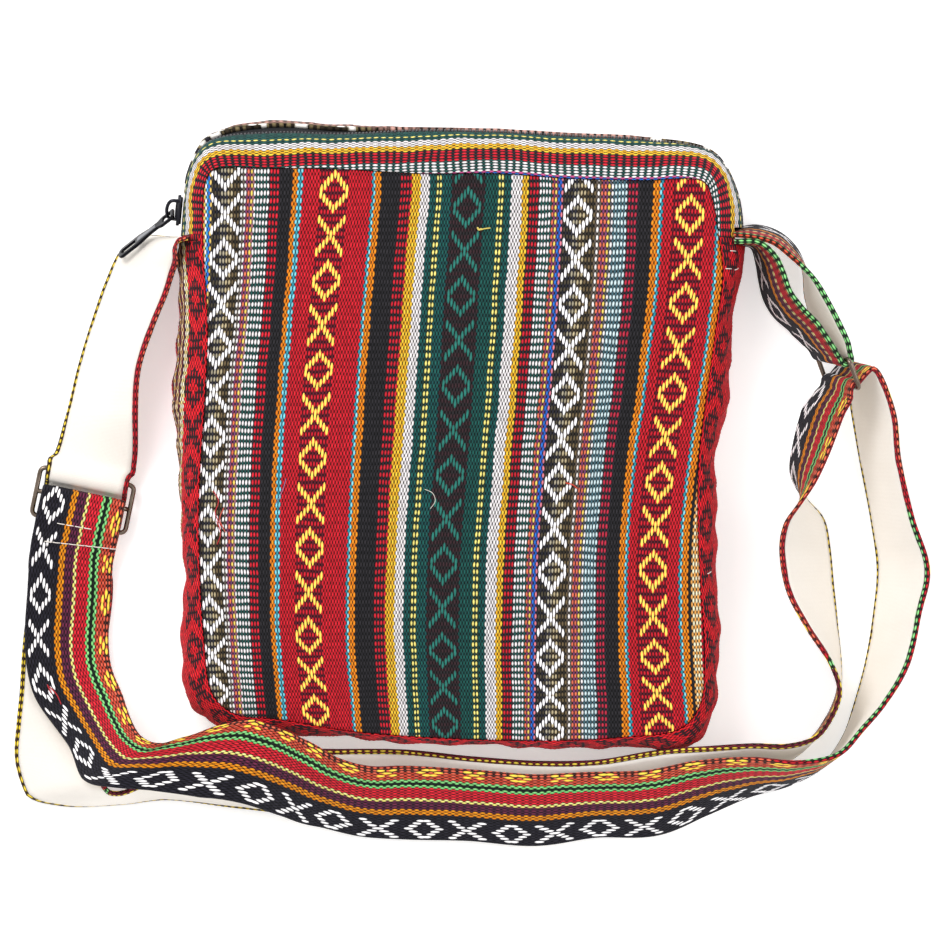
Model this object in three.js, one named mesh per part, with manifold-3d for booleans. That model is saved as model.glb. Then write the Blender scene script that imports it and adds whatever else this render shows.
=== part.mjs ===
// Striped hemp crossbody bag, lying on its back with its strap laid round it. Millimetres, +Z up.
// The origin is the middle of the underside of the back panel, +Y points at the zip.
import * as THREE from 'three';
import Module from 'manifold-3d';
import { mergeVertices } from 'three/addons/utils/BufferGeometryUtils.js';

const wasm = await Module();
wasm.setup();

// Bag sizes
const panelWidth = 227;
const panelHeight = 250;
const seamHeight = 40;
const panelRise = 8;
const clothThick = 2;
const seamGap = 0.3;
const tableClear = 0.15;

// Zip sizes
const teethWidth = 4;
const teethThick = 2.4;
const tapeWidth = 9;
const tapeThick = 0.8;
const tapeShown = 3;
const sliderLength = 14;
const sliderWidth = 9;
const sliderThick = 2.2;
const bailWire = 1.6;
const bailLength = 10;
const bailRise = 4.6;
const pullLength = 33;
const pullWidth = 7;
const pullNeck = 4.4;
const pullThick = 1.4;
const pullPin = 1.4;
const pullTilt = THREE.MathUtils.degToRad(35);
const pullLean = THREE.MathUtils.degToRad(49);

// Strap sizes
const strapWidth = 38;
const weaveThick = 1;
const liningThick = 1;
const edgeWrap = 1.8;
const layerGap = 0.3;

// Wire frames on the strap
const wireThick = 2.2;
const frameClear = 1.5;
const glideReach = 11;
const ringReach = 7;
const strapTail = 27;

// Worked out from the sizes above
const strapThick = weaveThick + layerGap + liningThick;
const layerPitch = strapThick + layerGap;
const foldRadius = wireThick / 2 + layerGap + strapThick / 2;
const restHigh = tableClear + strapThick / 2;

// Round the bag, clockwise from the left end of the zip: the front seam and the widest line of the
// side, as shares of the panel sizes, the seam's height as a share of seamHeight, and how far out
// the zip lies as a share of the way to the widest line
const SIDES = [
  { seamX: -0.500, seamY: 0.385, rimX: -0.546, rimY: 0.385, high: 0.97, zipOut: 1 },
  { seamX: -0.500, seamY: 0.446, rimX: -0.541, rimY: 0.450, high: 0.99, zipOut: 0.98 },
  { seamX: -0.492, seamY: 0.491, rimX: -0.535, rimY: 0.506, high: 1.00, zipOut: 0.94 },
  { seamX: -0.476, seamY: 0.508, rimX: -0.496, rimY: 0.572, high: 1.00, zipOut: 0.84 },
  { seamX: -0.369, seamY: 0.510, rimX: -0.373, rimY: 0.603, high: 1.00, zipOut: 0.75 },
  { seamX: -0.230, seamY: 0.508, rimX: -0.230, rimY: 0.595, high: 1.02, zipOut: 0.80 },
  { seamX: -0.071, seamY: 0.500, rimX: -0.071, rimY: 0.589, high: 1.03, zipOut: 0.94 },
  { seamX: 0.087, seamY: 0.500, rimX: 0.087, rimY: 0.585, high: 1.02, zipOut: 0.96 },
  { seamX: 0.226, seamY: 0.491, rimX: 0.226, rimY: 0.578, high: 1.02, zipOut: 0.96 },
  { seamX: 0.365, seamY: 0.488, rimX: 0.371, rimY: 0.571, high: 1.00, zipOut: 0.96 },
  { seamX: 0.488, seamY: 0.486, rimX: 0.511, rimY: 0.545, high: 1.00, zipOut: 0.96 },
  { seamX: 0.506, seamY: 0.455, rimX: 0.559, rimY: 0.473, high: 1.00, zipOut: 0.98 },
  { seamX: 0.519, seamY: 0.387, rimX: 0.571, rimY: 0.387, high: 0.98, zipOut: 1 },
  { seamX: 0.527, seamY: 0.320, rimX: 0.567, rimY: 0.320, high: 0.96, zipOut: 1 },
  { seamX: 0.513, seamY: 0.221, rimX: 0.545, rimY: 0.230, high: 0.94, zipOut: 1 },
  { seamX: 0.494, seamY: 0.095, rimX: 0.539, rimY: 0.081, high: 0.95, zipOut: 1 },
  { seamX: 0.480, seamY: -0.013, rimX: 0.511, rimY: -0.013, high: 0.92, zipOut: 1 },
  { seamX: 0.478, seamY: -0.121, rimX: 0.517, rimY: -0.110, high: 0.90, zipOut: 1 },
  { seamX: 0.484, seamY: -0.247, rimX: 0.517, rimY: -0.247, high: 0.88, zipOut: 1 },
  { seamX: 0.492, seamY: -0.364, rimX: 0.521, rimY: -0.373, high: 0.86, zipOut: 1 },
  { seamX: 0.482, seamY: -0.454, rimX: 0.509, rimY: -0.472, high: 0.84, zipOut: 1 },
  { seamX: 0.444, seamY: -0.495, rimX: 0.468, rimY: -0.524, high: 0.84, zipOut: 1 },
  { seamX: 0.325, seamY: -0.511, rimX: 0.329, rimY: -0.531, high: 0.84, zipOut: 1 },
  { seamX: 0.167, seamY: -0.517, rimX: 0.167, rimY: -0.529, high: 0.85, zipOut: 1 },
  { seamX: -0.052, seamY: -0.511, rimX: -0.052, rimY: -0.523, high: 0.85, zipOut: 1 },
  { seamX: -0.214, seamY: -0.499, rimX: -0.214, rimY: -0.513, high: 0.84, zipOut: 1 },
  { seamX: -0.349, seamY: -0.479, rimX: -0.349, rimY: -0.504, high: 0.82, zipOut: 1 },
  { seamX: -0.440, seamY: -0.468, rimX: -0.464, rimY: -0.495, high: 0.80, zipOut: 1 },
  { seamX: -0.482, seamY: -0.432, rimX: -0.523, rimY: -0.459, high: 0.82, zipOut: 1 },
  { seamX: -0.498, seamY: -0.337, rimX: -0.543, rimY: -0.346, high: 0.86, zipOut: 1 },
  { seamX: -0.507, seamY: -0.193, rimX: -0.539, rimY: -0.193, high: 0.90, zipOut: 1 },
  { seamX: -0.507, seamY: -0.067, rimX: -0.547, rimY: -0.067, high: 0.93, zipOut: 1 },
  { seamX: -0.496, seamY: 0.095, rimX: -0.559, rimY: 0.095, high: 0.95, zipOut: 1 },
  { seamX: -0.490, seamY: 0.221, rimX: -0.551, rimY: 0.221, high: 0.96, zipOut: 1 },
  { seamX: -0.496, seamY: 0.322, rimX: -0.549, rimY: 0.322, high: 0.96, zipOut: 1 },
];
const rightSlotRow = 12;

// Section of the side from the front seam to the back seam: share of the way out to the widest
// line and share of the way down
const SIDE_SECTION = [
  { out: 0.00, down: 0.00 },
  { out: 0.30, down: 0.05 },
  { out: 0.62, down: 0.14 },
  { out: 0.88, down: 0.28 },
  { out: 1.00, down: 0.43 },
  { out: 1.00, down: 0.60 },
  { out: 0.90, down: 0.79 },
  { out: 0.72, down: 0.93 },
  { out: 0.48, down: 1.00 },
];
const zipRow = 4;

// Soft folds of the front panel: place and half sizes as shares of the panel sizes, height as a
// share of panelRise
const PANEL_FOLDS = [
  { x: -0.30, y: 0.36, wide: 0.22, tall: 0.05, high: -0.25 },
  { x: 0.34, y: 0.30, wide: 0.05, tall: 0.22, high: 0.22 },
  { x: 0.36, y: -0.02, wide: 0.06, tall: 0.16, high: -0.30 },
  { x: -0.32, y: -0.08, wide: 0.07, tall: 0.25, high: 0.20 },
  { x: -0.05, y: 0.30, wide: 0.25, tall: 0.06, high: 0.18 },
  { x: 0.10, y: -0.36, wide: 0.28, tall: 0.07, high: -0.22 },
];

// The strap's route as its two edges, x and y as shares of the panel sizes and z as a share of
// strapWidth: m is the edge with the black motif stripe, g the other one
const STRAP_TO_RING = [
  { mx: -0.855, my: -0.250, mz: 0.15, gx: -0.686, gy: -0.250, gz: 0.15 },
  { mx: -0.858, my: -0.340, mz: 0.13, gx: -0.694, gy: -0.346, gz: 0.13 },
  { mx: -0.835, my: -0.414, mz: 0.18, gx: -0.695, gy: -0.398, gz: 0.33 },
  { mx: -0.791, my: -0.473, mz: 0.22, gx: -0.678, gy: -0.452, gz: 0.62 },
  { mx: -0.745, my: -0.526, mz: 0.46, gx: -0.646, gy: -0.508, gz: 0.93 },
  { mx: -0.708, my: -0.571, mz: 0.88, gx: -0.610, gy: -0.531, gz: 1.12 },
  { mx: -0.680, my: -0.594, mz: 1.14, gx: -0.530, gy: -0.508, gz: 1.17 },
  { mx: -0.607, my: -0.605, mz: 1.16, gx: -0.464, gy: -0.484, gz: 1.18 },
  { mx: -0.507, my: -0.619, mz: 1.13, gx: -0.394, gy: -0.473, gz: 1.15 },
  { mx: -0.428, my: -0.632, mz: 1.00, gx: -0.345, gy: -0.486, gz: 1.12 },
  { mx: -0.339, my: -0.646, mz: 0.58, gx: -0.303, gy: -0.520, gz: 0.97 },
  { mx: -0.270, my: -0.671, mz: 0.24, gx: -0.240, gy: -0.549, gz: 0.78 },
  { mx: -0.190, my: -0.693, mz: 0.12, gx: -0.174, gy: -0.563, gz: 0.64 },
  { mx: -0.097, my: -0.700, mz: 0.10, gx: -0.101, gy: -0.562, gz: 0.56 },
  { mx: 0.026, my: -0.702, mz: 0.10, gx: 0.028, gy: -0.569, gz: 0.60 },
  { mx: 0.157, my: -0.711, mz: 0.10, gx: 0.157, gy: -0.578, gz: 0.60 },
  { mx: 0.276, my: -0.695, mz: 0.10, gx: 0.276, gy: -0.574, gz: 0.70 },
  { mx: 0.393, my: -0.694, mz: 0.10, gx: 0.388, gy: -0.568, gz: 0.71 },
  { mx: 0.494, my: -0.656, mz: 0.10, gx: 0.494, gy: -0.552, gz: 0.85 },
  { mx: 0.583, my: -0.621, mz: 0.09, gx: 0.587, gy: -0.547, gz: 0.97 },
  { mx: 0.662, my: -0.600, mz: 0.08, gx: 0.676, gy: -0.553, gz: 1.03 },
  { mx: 0.731, my: -0.566, mz: 0.06, gx: 0.755, gy: -0.538, gz: 1.04 },
  { mx: 0.772, my: -0.517, mz: 0.05, gx: 0.801, gy: -0.495, gz: 1.03 },
  { mx: 0.797, my: -0.455, mz: 0.05, gx: 0.844, gy: -0.450, gz: 0.97 },
  { mx: 0.817, my: -0.387, mz: 0.05, gx: 0.892, gy: -0.378, gz: 0.92 },
  { mx: 0.833, my: -0.301, mz: 0.05, gx: 0.916, gy: -0.286, gz: 0.90 },
  { mx: 0.841, my: -0.211, mz: 0.05, gx: 0.934, gy: -0.211, gz: 0.87 },
  { mx: 0.829, my: -0.121, mz: 0.05, gx: 0.902, gy: -0.117, gz: 0.94 },
  { mx: 0.806, my: -0.013, mz: 0.06, gx: 0.876, gy: -0.013, gz: 0.98 },
  { mx: 0.788, my: 0.072, mz: 0.08, gx: 0.866, gy: 0.074, gz: 1.01 },
];
const RING_TO_GLIDE = [
  { mx: 0.692, my: 0.075, mz: 0.08, gx: 0.768, gy: 0.080, gz: 1.01 },
  { mx: 0.672, my: 0.013, mz: 0.06, gx: 0.740, gy: 0.010, gz: 1.01 },
  { mx: 0.668, my: -0.036, mz: 0.05, gx: 0.710, gy: -0.048, gz: 1.04 },
  { mx: 0.694, my: -0.080, mz: 0.05, gx: 0.678, gy: -0.090, gz: 1.04 },
  { mx: 0.733, my: -0.121, mz: 0.05, gx: 0.648, gy: -0.130, gz: 0.92 },
  { mx: 0.745, my: -0.171, mz: 0.05, gx: 0.640, gy: -0.171, gz: 0.84 },
  { mx: 0.753, my: -0.247, mz: 0.05, gx: 0.652, gy: -0.243, gz: 0.86 },
  { mx: 0.759, my: -0.319, mz: 0.05, gx: 0.694, gy: -0.315, gz: 0.95 },
  { mx: 0.765, my: -0.382, mz: 0.05, gx: 0.739, gy: -0.378, gz: 1.03 },
  { mx: 0.762, my: -0.434, mz: 0.05, gx: 0.756, gy: -0.427, gz: 1.04 },
  { mx: 0.738, my: -0.484, mz: 0.05, gx: 0.741, gy: -0.470, gz: 1.04 },
  { mx: 0.700, my: -0.529, mz: 0.05, gx: 0.710, gy: -0.508, gz: 1.04 },
  { mx: 0.646, my: -0.564, mz: 0.05, gx: 0.658, gy: -0.524, gz: 0.98 },
  { mx: 0.579, my: -0.590, mz: 0.05, gx: 0.587, gy: -0.524, gz: 0.92 },
  { mx: 0.494, my: -0.620, mz: 0.05, gx: 0.488, gy: -0.531, gz: 0.80 },
  { mx: 0.385, my: -0.657, mz: 0.05, gx: 0.381, gy: -0.542, gz: 0.60 },
  { mx: 0.276, my: -0.677, mz: 0.05, gx: 0.276, gy: -0.553, gz: 0.62 },
  { mx: 0.157, my: -0.689, mz: 0.05, gx: 0.157, gy: -0.554, gz: 0.52 },
  { mx: 0.028, my: -0.682, mz: 0.05, gx: 0.028, gy: -0.545, gz: 0.52 },
  { mx: -0.101, my: -0.677, mz: 0.05, gx: -0.101, gy: -0.535, gz: 0.40 },
  { mx: -0.220, my: -0.668, mz: 0.05, gx: -0.230, gy: -0.535, gz: 0.50 },
  { mx: -0.333, my: -0.650, mz: 0.05, gx: -0.341, gy: -0.540, gz: 0.66 },
  { mx: -0.448, my: -0.639, mz: 0.05, gx: -0.456, gy: -0.563, gz: 0.90 },
  { mx: -0.577, my: -0.625, mz: 0.05, gx: -0.587, gy: -0.583, gz: 1.00 },
  { mx: -0.656, my: -0.632, mz: 0.05, gx: -0.660, gy: -0.608, gz: 1.03 },
  { mx: -0.716, my: -0.635, mz: 0.05, gx: -0.684, gy: -0.607, gz: 0.98 },
  { mx: -0.785, my: -0.632, mz: 0.05, gx: -0.706, gy: -0.590, gz: 0.80 },
  { mx: -0.844, my: -0.616, mz: 0.05, gx: -0.724, gy: -0.571, gz: 0.56 },
  { mx: -0.868, my: -0.562, mz: 0.05, gx: -0.731, gy: -0.549, gz: 0.34 },
  { mx: -0.872, my: -0.495, mz: 0.04, gx: -0.716, gy: -0.502, gz: 0.12 },
  { mx: -0.870, my: -0.436, mz: 0.04, gx: -0.705, gy: -0.445, gz: 0.06 },
  { mx: -0.862, my: -0.346, mz: 0.036, gx: -0.700, gy: -0.355, gz: 0.036 },
  { mx: -0.852, my: -0.247, mz: 0.036, gx: -0.684, gy: -0.247, gz: 0.036 },
];
const GLIDE_TO_BAG = [
  { mx: -0.789, my: 0.013, mz: 0.05, gx: -0.640, gy: -0.005, gz: 0.28 },
  { mx: -0.773, my: 0.068, mz: 0.04, gx: -0.636, gy: 0.066, gz: 0.52 },
  { mx: -0.751, my: 0.151, mz: 0.04, gx: -0.628, gy: 0.153, gz: 0.66 },
  { mx: -0.726, my: 0.234, mz: 0.04, gx: -0.600, gy: 0.225, gz: 0.68 },
  { mx: -0.700, my: 0.302, mz: 0.04, gx: -0.572, gy: 0.289, gz: 0.66 },
  { mx: -0.668, my: 0.356, mz: 0.05, gx: -0.560, gy: 0.335, gz: 0.72 },
  { mx: -0.620, my: 0.388, mz: 0.05, gx: -0.556, gy: 0.366, gz: 0.92 },
  { mx: -0.571, my: 0.388, mz: 0.04, gx: -0.546, gy: 0.380, gz: 1.02 },
  { mx: -0.530, my: 0.385, mz: 0.04, gx: -0.528, gy: 0.385, gz: 1.04 },
];
// The short loop that holds the ring, out from the right side and back to it
const TAB_TO_RING = [
  { mx: 0.548, my: 0.396, mz: 1.04, gx: 0.549, gy: 0.396, gz: 0.04 },
  { mx: 0.587, my: 0.396, mz: 1.04, gx: 0.591, gy: 0.392, gz: 0.04 },
  { mx: 0.626, my: 0.388, mz: 1.04, gx: 0.628, gy: 0.378, gz: 0.04 },
  { mx: 0.660, my: 0.362, mz: 1.04, gx: 0.655, gy: 0.351, gz: 0.05 },
  { mx: 0.690, my: 0.333, mz: 1.05, gx: 0.680, gy: 0.319, gz: 0.06 },
  { mx: 0.715, my: 0.300, mz: 1.07, gx: 0.698, gy: 0.282, gz: 0.08 },
];
const RING_TO_BAG = [
  { mx: 0.703, my: 0.240, mz: 1.08, gx: 0.668, gy: 0.222, gz: 0.11 },
  { mx: 0.682, my: 0.262, mz: 1.07, gx: 0.636, gy: 0.246, gz: 0.08 },
  { mx: 0.660, my: 0.290, mz: 1.05, gx: 0.615, gy: 0.277, gz: 0.06 },
  { mx: 0.646, my: 0.326, mz: 1.05, gx: 0.605, gy: 0.312, gz: 0.05 },
  { mx: 0.630, my: 0.353, mz: 1.04, gx: 0.600, gy: 0.344, gz: 0.05 },
  { mx: 0.598, my: 0.377, mz: 1.04, gx: 0.588, gy: 0.375, gz: 0.04 },
  { mx: 0.549, my: 0.378, mz: 1.04, gx: 0.548, gy: 0.378, gz: 0.04 },
];

const model = new THREE.Group();

function addPiece(name, geometry, colour, roughness, metalness) {
  const material = new THREE.MeshStandardMaterial({ color: colour, roughness, metalness });
  const mesh = new THREE.Mesh(geometry, material);
  mesh.name = name;
  model.add(mesh);
  return mesh;
}

// A closed mesh from points and faces, turned so that its faces point out
function closedGeometry(points, faces) {
  let volume = 0;
  for (const [a, b, c] of faces) {
    volume += points[a].dot(points[b].clone().cross(points[c])) / 6;
  }
  const turned = volume < 0 ? faces.map(([a, b, c]) => [a, c, b]) : faces;
  const geometry = new THREE.BufferGeometry();
  geometry.setFromPoints(points);
  geometry.setIndex(turned.flat());
  geometry.computeVertexNormals();
  return geometry;
}

// A wall between an outer and an inner grid of points, rows of equal length
function wallGeometry(outer, inner, closedRound = false) {
  const rows = outer.length;
  const columns = outer[0].length;
  const points = [...outer.flat(), ...inner.flat()];
  const at = (side, i, j) => side * rows * columns + (i % rows) * columns + j;
  const faces = [];
  const quad = (a, b, c, d) => faces.push([a, b, c], [a, c, d]);
  const spans = closedRound ? rows : rows - 1;
  for (let i = 0; i < spans; i += 1) {
    for (let j = 0; j < columns - 1; j += 1) {
      quad(at(0, i, j), at(0, i + 1, j), at(0, i + 1, j + 1), at(0, i, j + 1));
      quad(at(1, i, j), at(1, i, j + 1), at(1, i + 1, j + 1), at(1, i + 1, j));
    }
    quad(at(0, i, 0), at(1, i, 0), at(1, i + 1, 0), at(0, i + 1, 0));
    const last = columns - 1;
    quad(at(0, i, last), at(0, i + 1, last), at(1, i + 1, last), at(1, i, last));
  }
  if (!closedRound) {
    for (let j = 0; j < columns - 1; j += 1) {
      quad(at(0, 0, j), at(0, 0, j + 1), at(1, 0, j + 1), at(1, 0, j));
      quad(at(0, rows - 1, j), at(1, rows - 1, j), at(1, rows - 1, j + 1), at(0, rows - 1, j + 1));
    }
  }
  return closedGeometry(points, faces);
}

// Solids joined and cut
function solidOf(geometry) {
  const bare = geometry.clone();
  bare.deleteAttribute('normal');
  bare.deleteAttribute('uv');
  const merged = mergeVertices(bare, 1e-4);
  const mesh = new wasm.Mesh({
    numProp: 3,
    vertProperties: new Float32Array(merged.attributes.position.array),
    triVerts: new Uint32Array(merged.index.array),
  });
  return new wasm.Manifold(mesh);
}

function geometryOf(solid) {
  const mesh = solid.getMesh();
  const geometry = new THREE.BufferGeometry();
  geometry.setAttribute('position', new THREE.BufferAttribute(new Float32Array(mesh.vertProperties), 3));
  geometry.setIndex(new THREE.BufferAttribute(new Uint32Array(mesh.triVerts), 1));
  geometry.computeVertexNormals();
  return geometry;
}

// The side surface of the bag. turn counts rows of SIDES round the bag and down counts rows of
// SIDE_SECTION from the front seam to the back seam
const seamCurve = new THREE.CatmullRomCurve3(
  SIDES.map((row) => new THREE.Vector3(row.seamX * panelWidth, row.seamY * panelHeight, row.high * seamHeight)),
  true,
);
const rimCurve = new THREE.CatmullRomCurve3(
  SIDES.map((row) => new THREE.Vector3(row.rimX * panelWidth, row.rimY * panelHeight, row.zipOut)),
  true,
);
const sectionCurve = new THREE.CatmullRomCurve3(
  SIDE_SECTION.map((row) => new THREE.Vector3(row.out, row.down, 0)),
);
const sideRows = SIDES.length;
const sectionRows = SIDE_SECTION.length - 1;

function sidePoint(turn, down) {
  const share = ((turn / sideRows) % 1 + 1) % 1;
  const seam = seamCurve.getPoint(share);
  const rim = rimCurve.getPoint(share);
  const section = sectionCurve.getPoint(THREE.MathUtils.clamp(down / sectionRows, 0, 1));
  const past = THREE.MathUtils.smoothstep(down, zipRow, zipRow + 1.5);
  const out = section.x * THREE.MathUtils.lerp(rim.z, 1, past);
  return new THREE.Vector3(
    THREE.MathUtils.lerp(seam.x, rim.x, out),
    THREE.MathUtils.lerp(seam.y, rim.y, out),
    THREE.MathUtils.lerp(seam.z, tableClear, section.y),
  );
}

function sideFrame(turn, down) {
  const step = 0.05;
  const low = Math.max(down - step, 0);
  const high = Math.min(down + step, sectionRows);
  const round = sidePoint(turn + step, down).sub(sidePoint(turn - step, down));
  const across = sidePoint(turn, high).sub(sidePoint(turn, low));
  const roundMm = round.length() / (2 * step);
  const downMm = across.length() / (high - low);
  const outward = round.clone().cross(across).normalize();
  if (down <= 0) outward.set(0, 0, 1);
  if (down >= sectionRows) outward.set(0, 0, -1);
  return { point: sidePoint(turn, down), outward, round: round.normalize(), across: across.normalize(), roundMm, downMm };
}

// A plate on the side surface: turns lists places round the bag, fromMm and toMm give its edges in
// millimetres from a section row, and it lies between two depths under the surface
function sidePlate(turns, fromRow, fromMm, toRow, toMm, spans, depthOuter, depthInner) {
  const outer = [];
  const inner = [];
  for (const turn of turns) {
    const first = fromRow + fromMm / sideFrame(turn, fromRow).downMm;
    const last = toRow + toMm / sideFrame(turn, toRow).downMm;
    const outerRow = [];
    const innerRow = [];
    for (let j = 0; j <= spans; j += 1) {
      const frame = sideFrame(turn, THREE.MathUtils.lerp(first, last, j / spans));
      outerRow.push(frame.point.clone().addScaledVector(frame.outward, -depthOuter));
      innerRow.push(frame.point.clone().addScaledVector(frame.outward, -depthInner));
    }
    outer.push(outerRow);
    inner.push(innerRow);
  }
  return wallGeometry(outer, inner);
}

function placesBetween(first, last, spans) {
  return Array.from({ length: spans + 1 }, (_, i) => THREE.MathUtils.lerp(first, last, i / spans));
}

// The strap's end and the tab's two layers go in between the zip bands and the gusset
const leftSlot = strapThick / 2 + layerGap;
const rightSlot = strapThick + 6 * layerGap;
const leftRoundMm = sideFrame(0, zipRow).roundMm;
const rightRoundMm = sideFrame(rightSlotRow, zipRow).roundMm;
const bandStart = leftSlot / leftRoundMm;
const bandEnd = rightSlotRow - rightSlot / rightRoundMm;
const gussetStart = rightSlotRow + rightSlot / rightRoundMm;
const gussetEnd = sideRows - leftSlot / leftRoundMm;
const bandTurns = placesBetween(bandStart, bandEnd, 30);
const gussetTurns = placesBetween(gussetStart, gussetEnd, 58);

// Zip bands, side gusset
const bandEdge = teethWidth / 2 + tapeShown;
addPiece('zip_band_front', sidePlate(bandTurns, 0, 0, zipRow, -bandEdge, 4, 0, clothThick), 0x9f3b36, 0.9, 0);
addPiece('zip_band_back', sidePlate(bandTurns, zipRow, bandEdge, sectionRows, 0, 4, 0, clothThick), 0x5d4a45, 0.9, 0);
addPiece('side_gusset', sidePlate(gussetTurns, 0, 0, sectionRows, 0, 7, 0, clothThick), 0xc21f28, 0.9, 0);

// Zip tapes under the band edges and the row of teeth between them
const tapeDepth = clothThick + seamGap;
const teethSide = teethWidth / 2 + seamGap;
addPiece(
  'zip_tape_front',
  sidePlate(bandTurns, zipRow, -teethSide - tapeWidth, zipRow, -teethSide, 1, tapeDepth, tapeDepth + tapeThick),
  0x16161a, 0.85, 0,
);
addPiece(
  'zip_tape_back',
  sidePlate(bandTurns, zipRow, teethSide, zipRow, teethSide + tapeWidth, 1, tapeDepth, tapeDepth + tapeThick),
  0x16161a, 0.85, 0,
);
addPiece(
  'zip_teeth',
  sidePlate(bandTurns, zipRow, -teethWidth / 2, zipRow, teethWidth / 2, 1, seamGap, seamGap + teethThick),
  0x101013, 0.5, 0.1,
);

// Panels: rings of points shrunk from the seam towards the middle
const roundPlaces = placesBetween(0, sideRows, sideRows * 3).slice(0, -1);
const panelShare = 1 - 4 * seamGap / panelWidth;

function panelHeightAt(x, y, seamZ, ring) {
  let rise = panelRise * (1 - ring ** 2);
  for (const fold of PANEL_FOLDS) {
    const across = (x / panelWidth - fold.x) / fold.wide;
    const along = (y / panelHeight - fold.y) / fold.tall;
    rise += panelRise * fold.high * Math.exp(-(across ** 2) - along ** 2);
  }
  return seamZ + rise * Math.min(1, (1 - ring) * 6);
}

function frontPanel() {
  const rings = [panelShare, 0.93, 0.8, 0.62, 0.38];
  const seams = roundPlaces.map((turn) => sidePoint(turn, 0));
  const meanSeam = seams.reduce((sum, point) => sum + point.z, 0) / seams.length;
  const points = [];
  for (const drop of [0, clothThick]) {
    for (const ring of rings) {
      for (const seam of seams) {
        const base = THREE.MathUtils.lerp(meanSeam, seam.z, ring);
        const high = panelHeightAt(seam.x * ring, seam.y * ring, base, ring / panelShare);
        points.push(new THREE.Vector3(seam.x * ring, seam.y * ring, high - drop));
      }
    }
    points.push(new THREE.Vector3(0, 0, panelHeightAt(0, 0, meanSeam, 0) - drop));
  }
  const count = seams.length;
  const side = count * rings.length + 1;
  const faces = [];
  for (let i = 0; i < count; i += 1) {
    const next = (i + 1) % count;
    for (const [base, flip] of [[0, false], [side, true]]) {
      const add = (a, b, c) => faces.push(flip ? [a + base, c + base, b + base] : [a + base, b + base, c + base]);
      for (let r = 0; r < rings.length - 1; r += 1) {
        add(r * count + i, (r + 1) * count + i, (r + 1) * count + next);
        add(r * count + i, (r + 1) * count + next, r * count + next);
      }
      const lastRing = (rings.length - 1) * count;
      add(lastRing + i, side - 1, lastRing + next);
    }
    faces.push([i, next, side + next], [i, side + next, side + i]);
  }
  return closedGeometry(points, faces);
}

function backPanel() {
  const outline = roundPlaces.map((turn) => {
    const edge = sidePoint(turn, sectionRows);
    return new THREE.Vector2(edge.x, edge.y).multiplyScalar(panelShare);
  });
  return new THREE.ExtrudeGeometry(new THREE.Shape(outline), { depth: clothThick, bevelEnabled: false });
}

addPiece('front_panel', frontPanel(), 0xa5303a, 0.9, 0);
addPiece('back_panel', backPanel(), 0xa5303a, 0.9, 0);

// Strap: a channel of woven cloth with its edges turned round a plain lining strip. A station has
// its edge points m and g, and the section is drawn across the strap and towards the woven face
const weaveSection = [
  [-strapWidth / 2, strapThick / 2],
  [strapWidth / 2, strapThick / 2],
  [strapWidth / 2, -strapThick / 2],
  [strapWidth / 2 - edgeWrap, -strapThick / 2],
  [strapWidth / 2 - edgeWrap, strapThick / 2 - weaveThick],
  [-strapWidth / 2 + edgeWrap, strapThick / 2 - weaveThick],
  [-strapWidth / 2 + edgeWrap, -strapThick / 2],
  [-strapWidth / 2, -strapThick / 2],
];
const liningSide = strapWidth / 2 - edgeWrap - layerGap;
const liningSection = [
  [-liningSide, -strapThick / 2 + liningThick],
  [liningSide, -strapThick / 2 + liningThick],
  [liningSide, -strapThick / 2],
  [-liningSide, -strapThick / 2],
];

function tableStations(rows) {
  return rows.map((row) => ({
    m: new THREE.Vector3(row.mx * panelWidth, row.my * panelHeight, row.mz * strapWidth),
    g: new THREE.Vector3(row.gx * panelWidth, row.gy * panelHeight, row.gz * strapWidth),
  }));
}

function stripStations(rows, stepsPerRow) {
  const mCurve = new THREE.CatmullRomCurve3(rows.map((row) => row.m));
  const gCurve = new THREE.CatmullRomCurve3(rows.map((row) => row.g));
  const count = (rows.length - 1) * stepsPerRow;
  const edges = placesBetween(0, 1, count).map((share) => [mCurve.getPoint(share), gCurve.getPoint(share)]);
  const centres = edges.map(([m, g]) => m.clone().add(g).multiplyScalar(0.5));
  return edges.map(([m, g], i) => {
    const across = g.clone().sub(m).normalize();
    const along = centres[Math.min(i + 1, count)].clone().sub(centres[Math.max(i - 1, 0)]).normalize();
    const face = along.clone().cross(across);
    const stretch = Math.min(1 / face.length(), 1.12);
    face.normalize();
    const reachDown = (stretch * strapWidth * Math.abs(across.z) + strapThick * Math.abs(face.z)) / 2;
    const centre = centres[i].clone();
    centre.z = Math.max(centre.z, tableClear + reachDown);
    return { centre, across: across.multiplyScalar(stretch), face };
  });
}

function stripGeometry(stations, section) {
  const rings = stations.map(({ centre, across, face }) => section.map(([side, up]) => (
    centre.clone().addScaledVector(across, side).addScaledVector(face, up)
  )));
  const count = section.length;
  const points = rings.flat();
  const faces = [];
  for (let i = 0; i < rings.length - 1; i += 1) {
    for (let j = 0; j < count; j += 1) {
      const next = (j + 1) % count;
      const a = i * count + j;
      const b = i * count + next;
      if (section[j][0] < section[next][0]) {
        faces.push([a, b, b + count], [a, b + count, a + count]);
      } else {
        faces.push([a, b, a + count], [b, b + count, a + count]);
      }
    }
  }
  const contour = section.map(([side, up]) => new THREE.Vector2(side, up));
  const last = (rings.length - 1) * count;
  const clockwise = THREE.ShapeUtils.isClockWise(contour) ? 1 : -1;
  for (const [a, b, c] of THREE.ShapeUtils.triangulateShape(contour, [])) {
    faces.push(clockwise > 0 ? [a, b, c] : [a, c, b]);
    faces.push(clockwise > 0 ? [last + a, last + c, last + b] : [last + a, last + b, last + c]);
  }
  return closedGeometry(points, faces);
}

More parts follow.
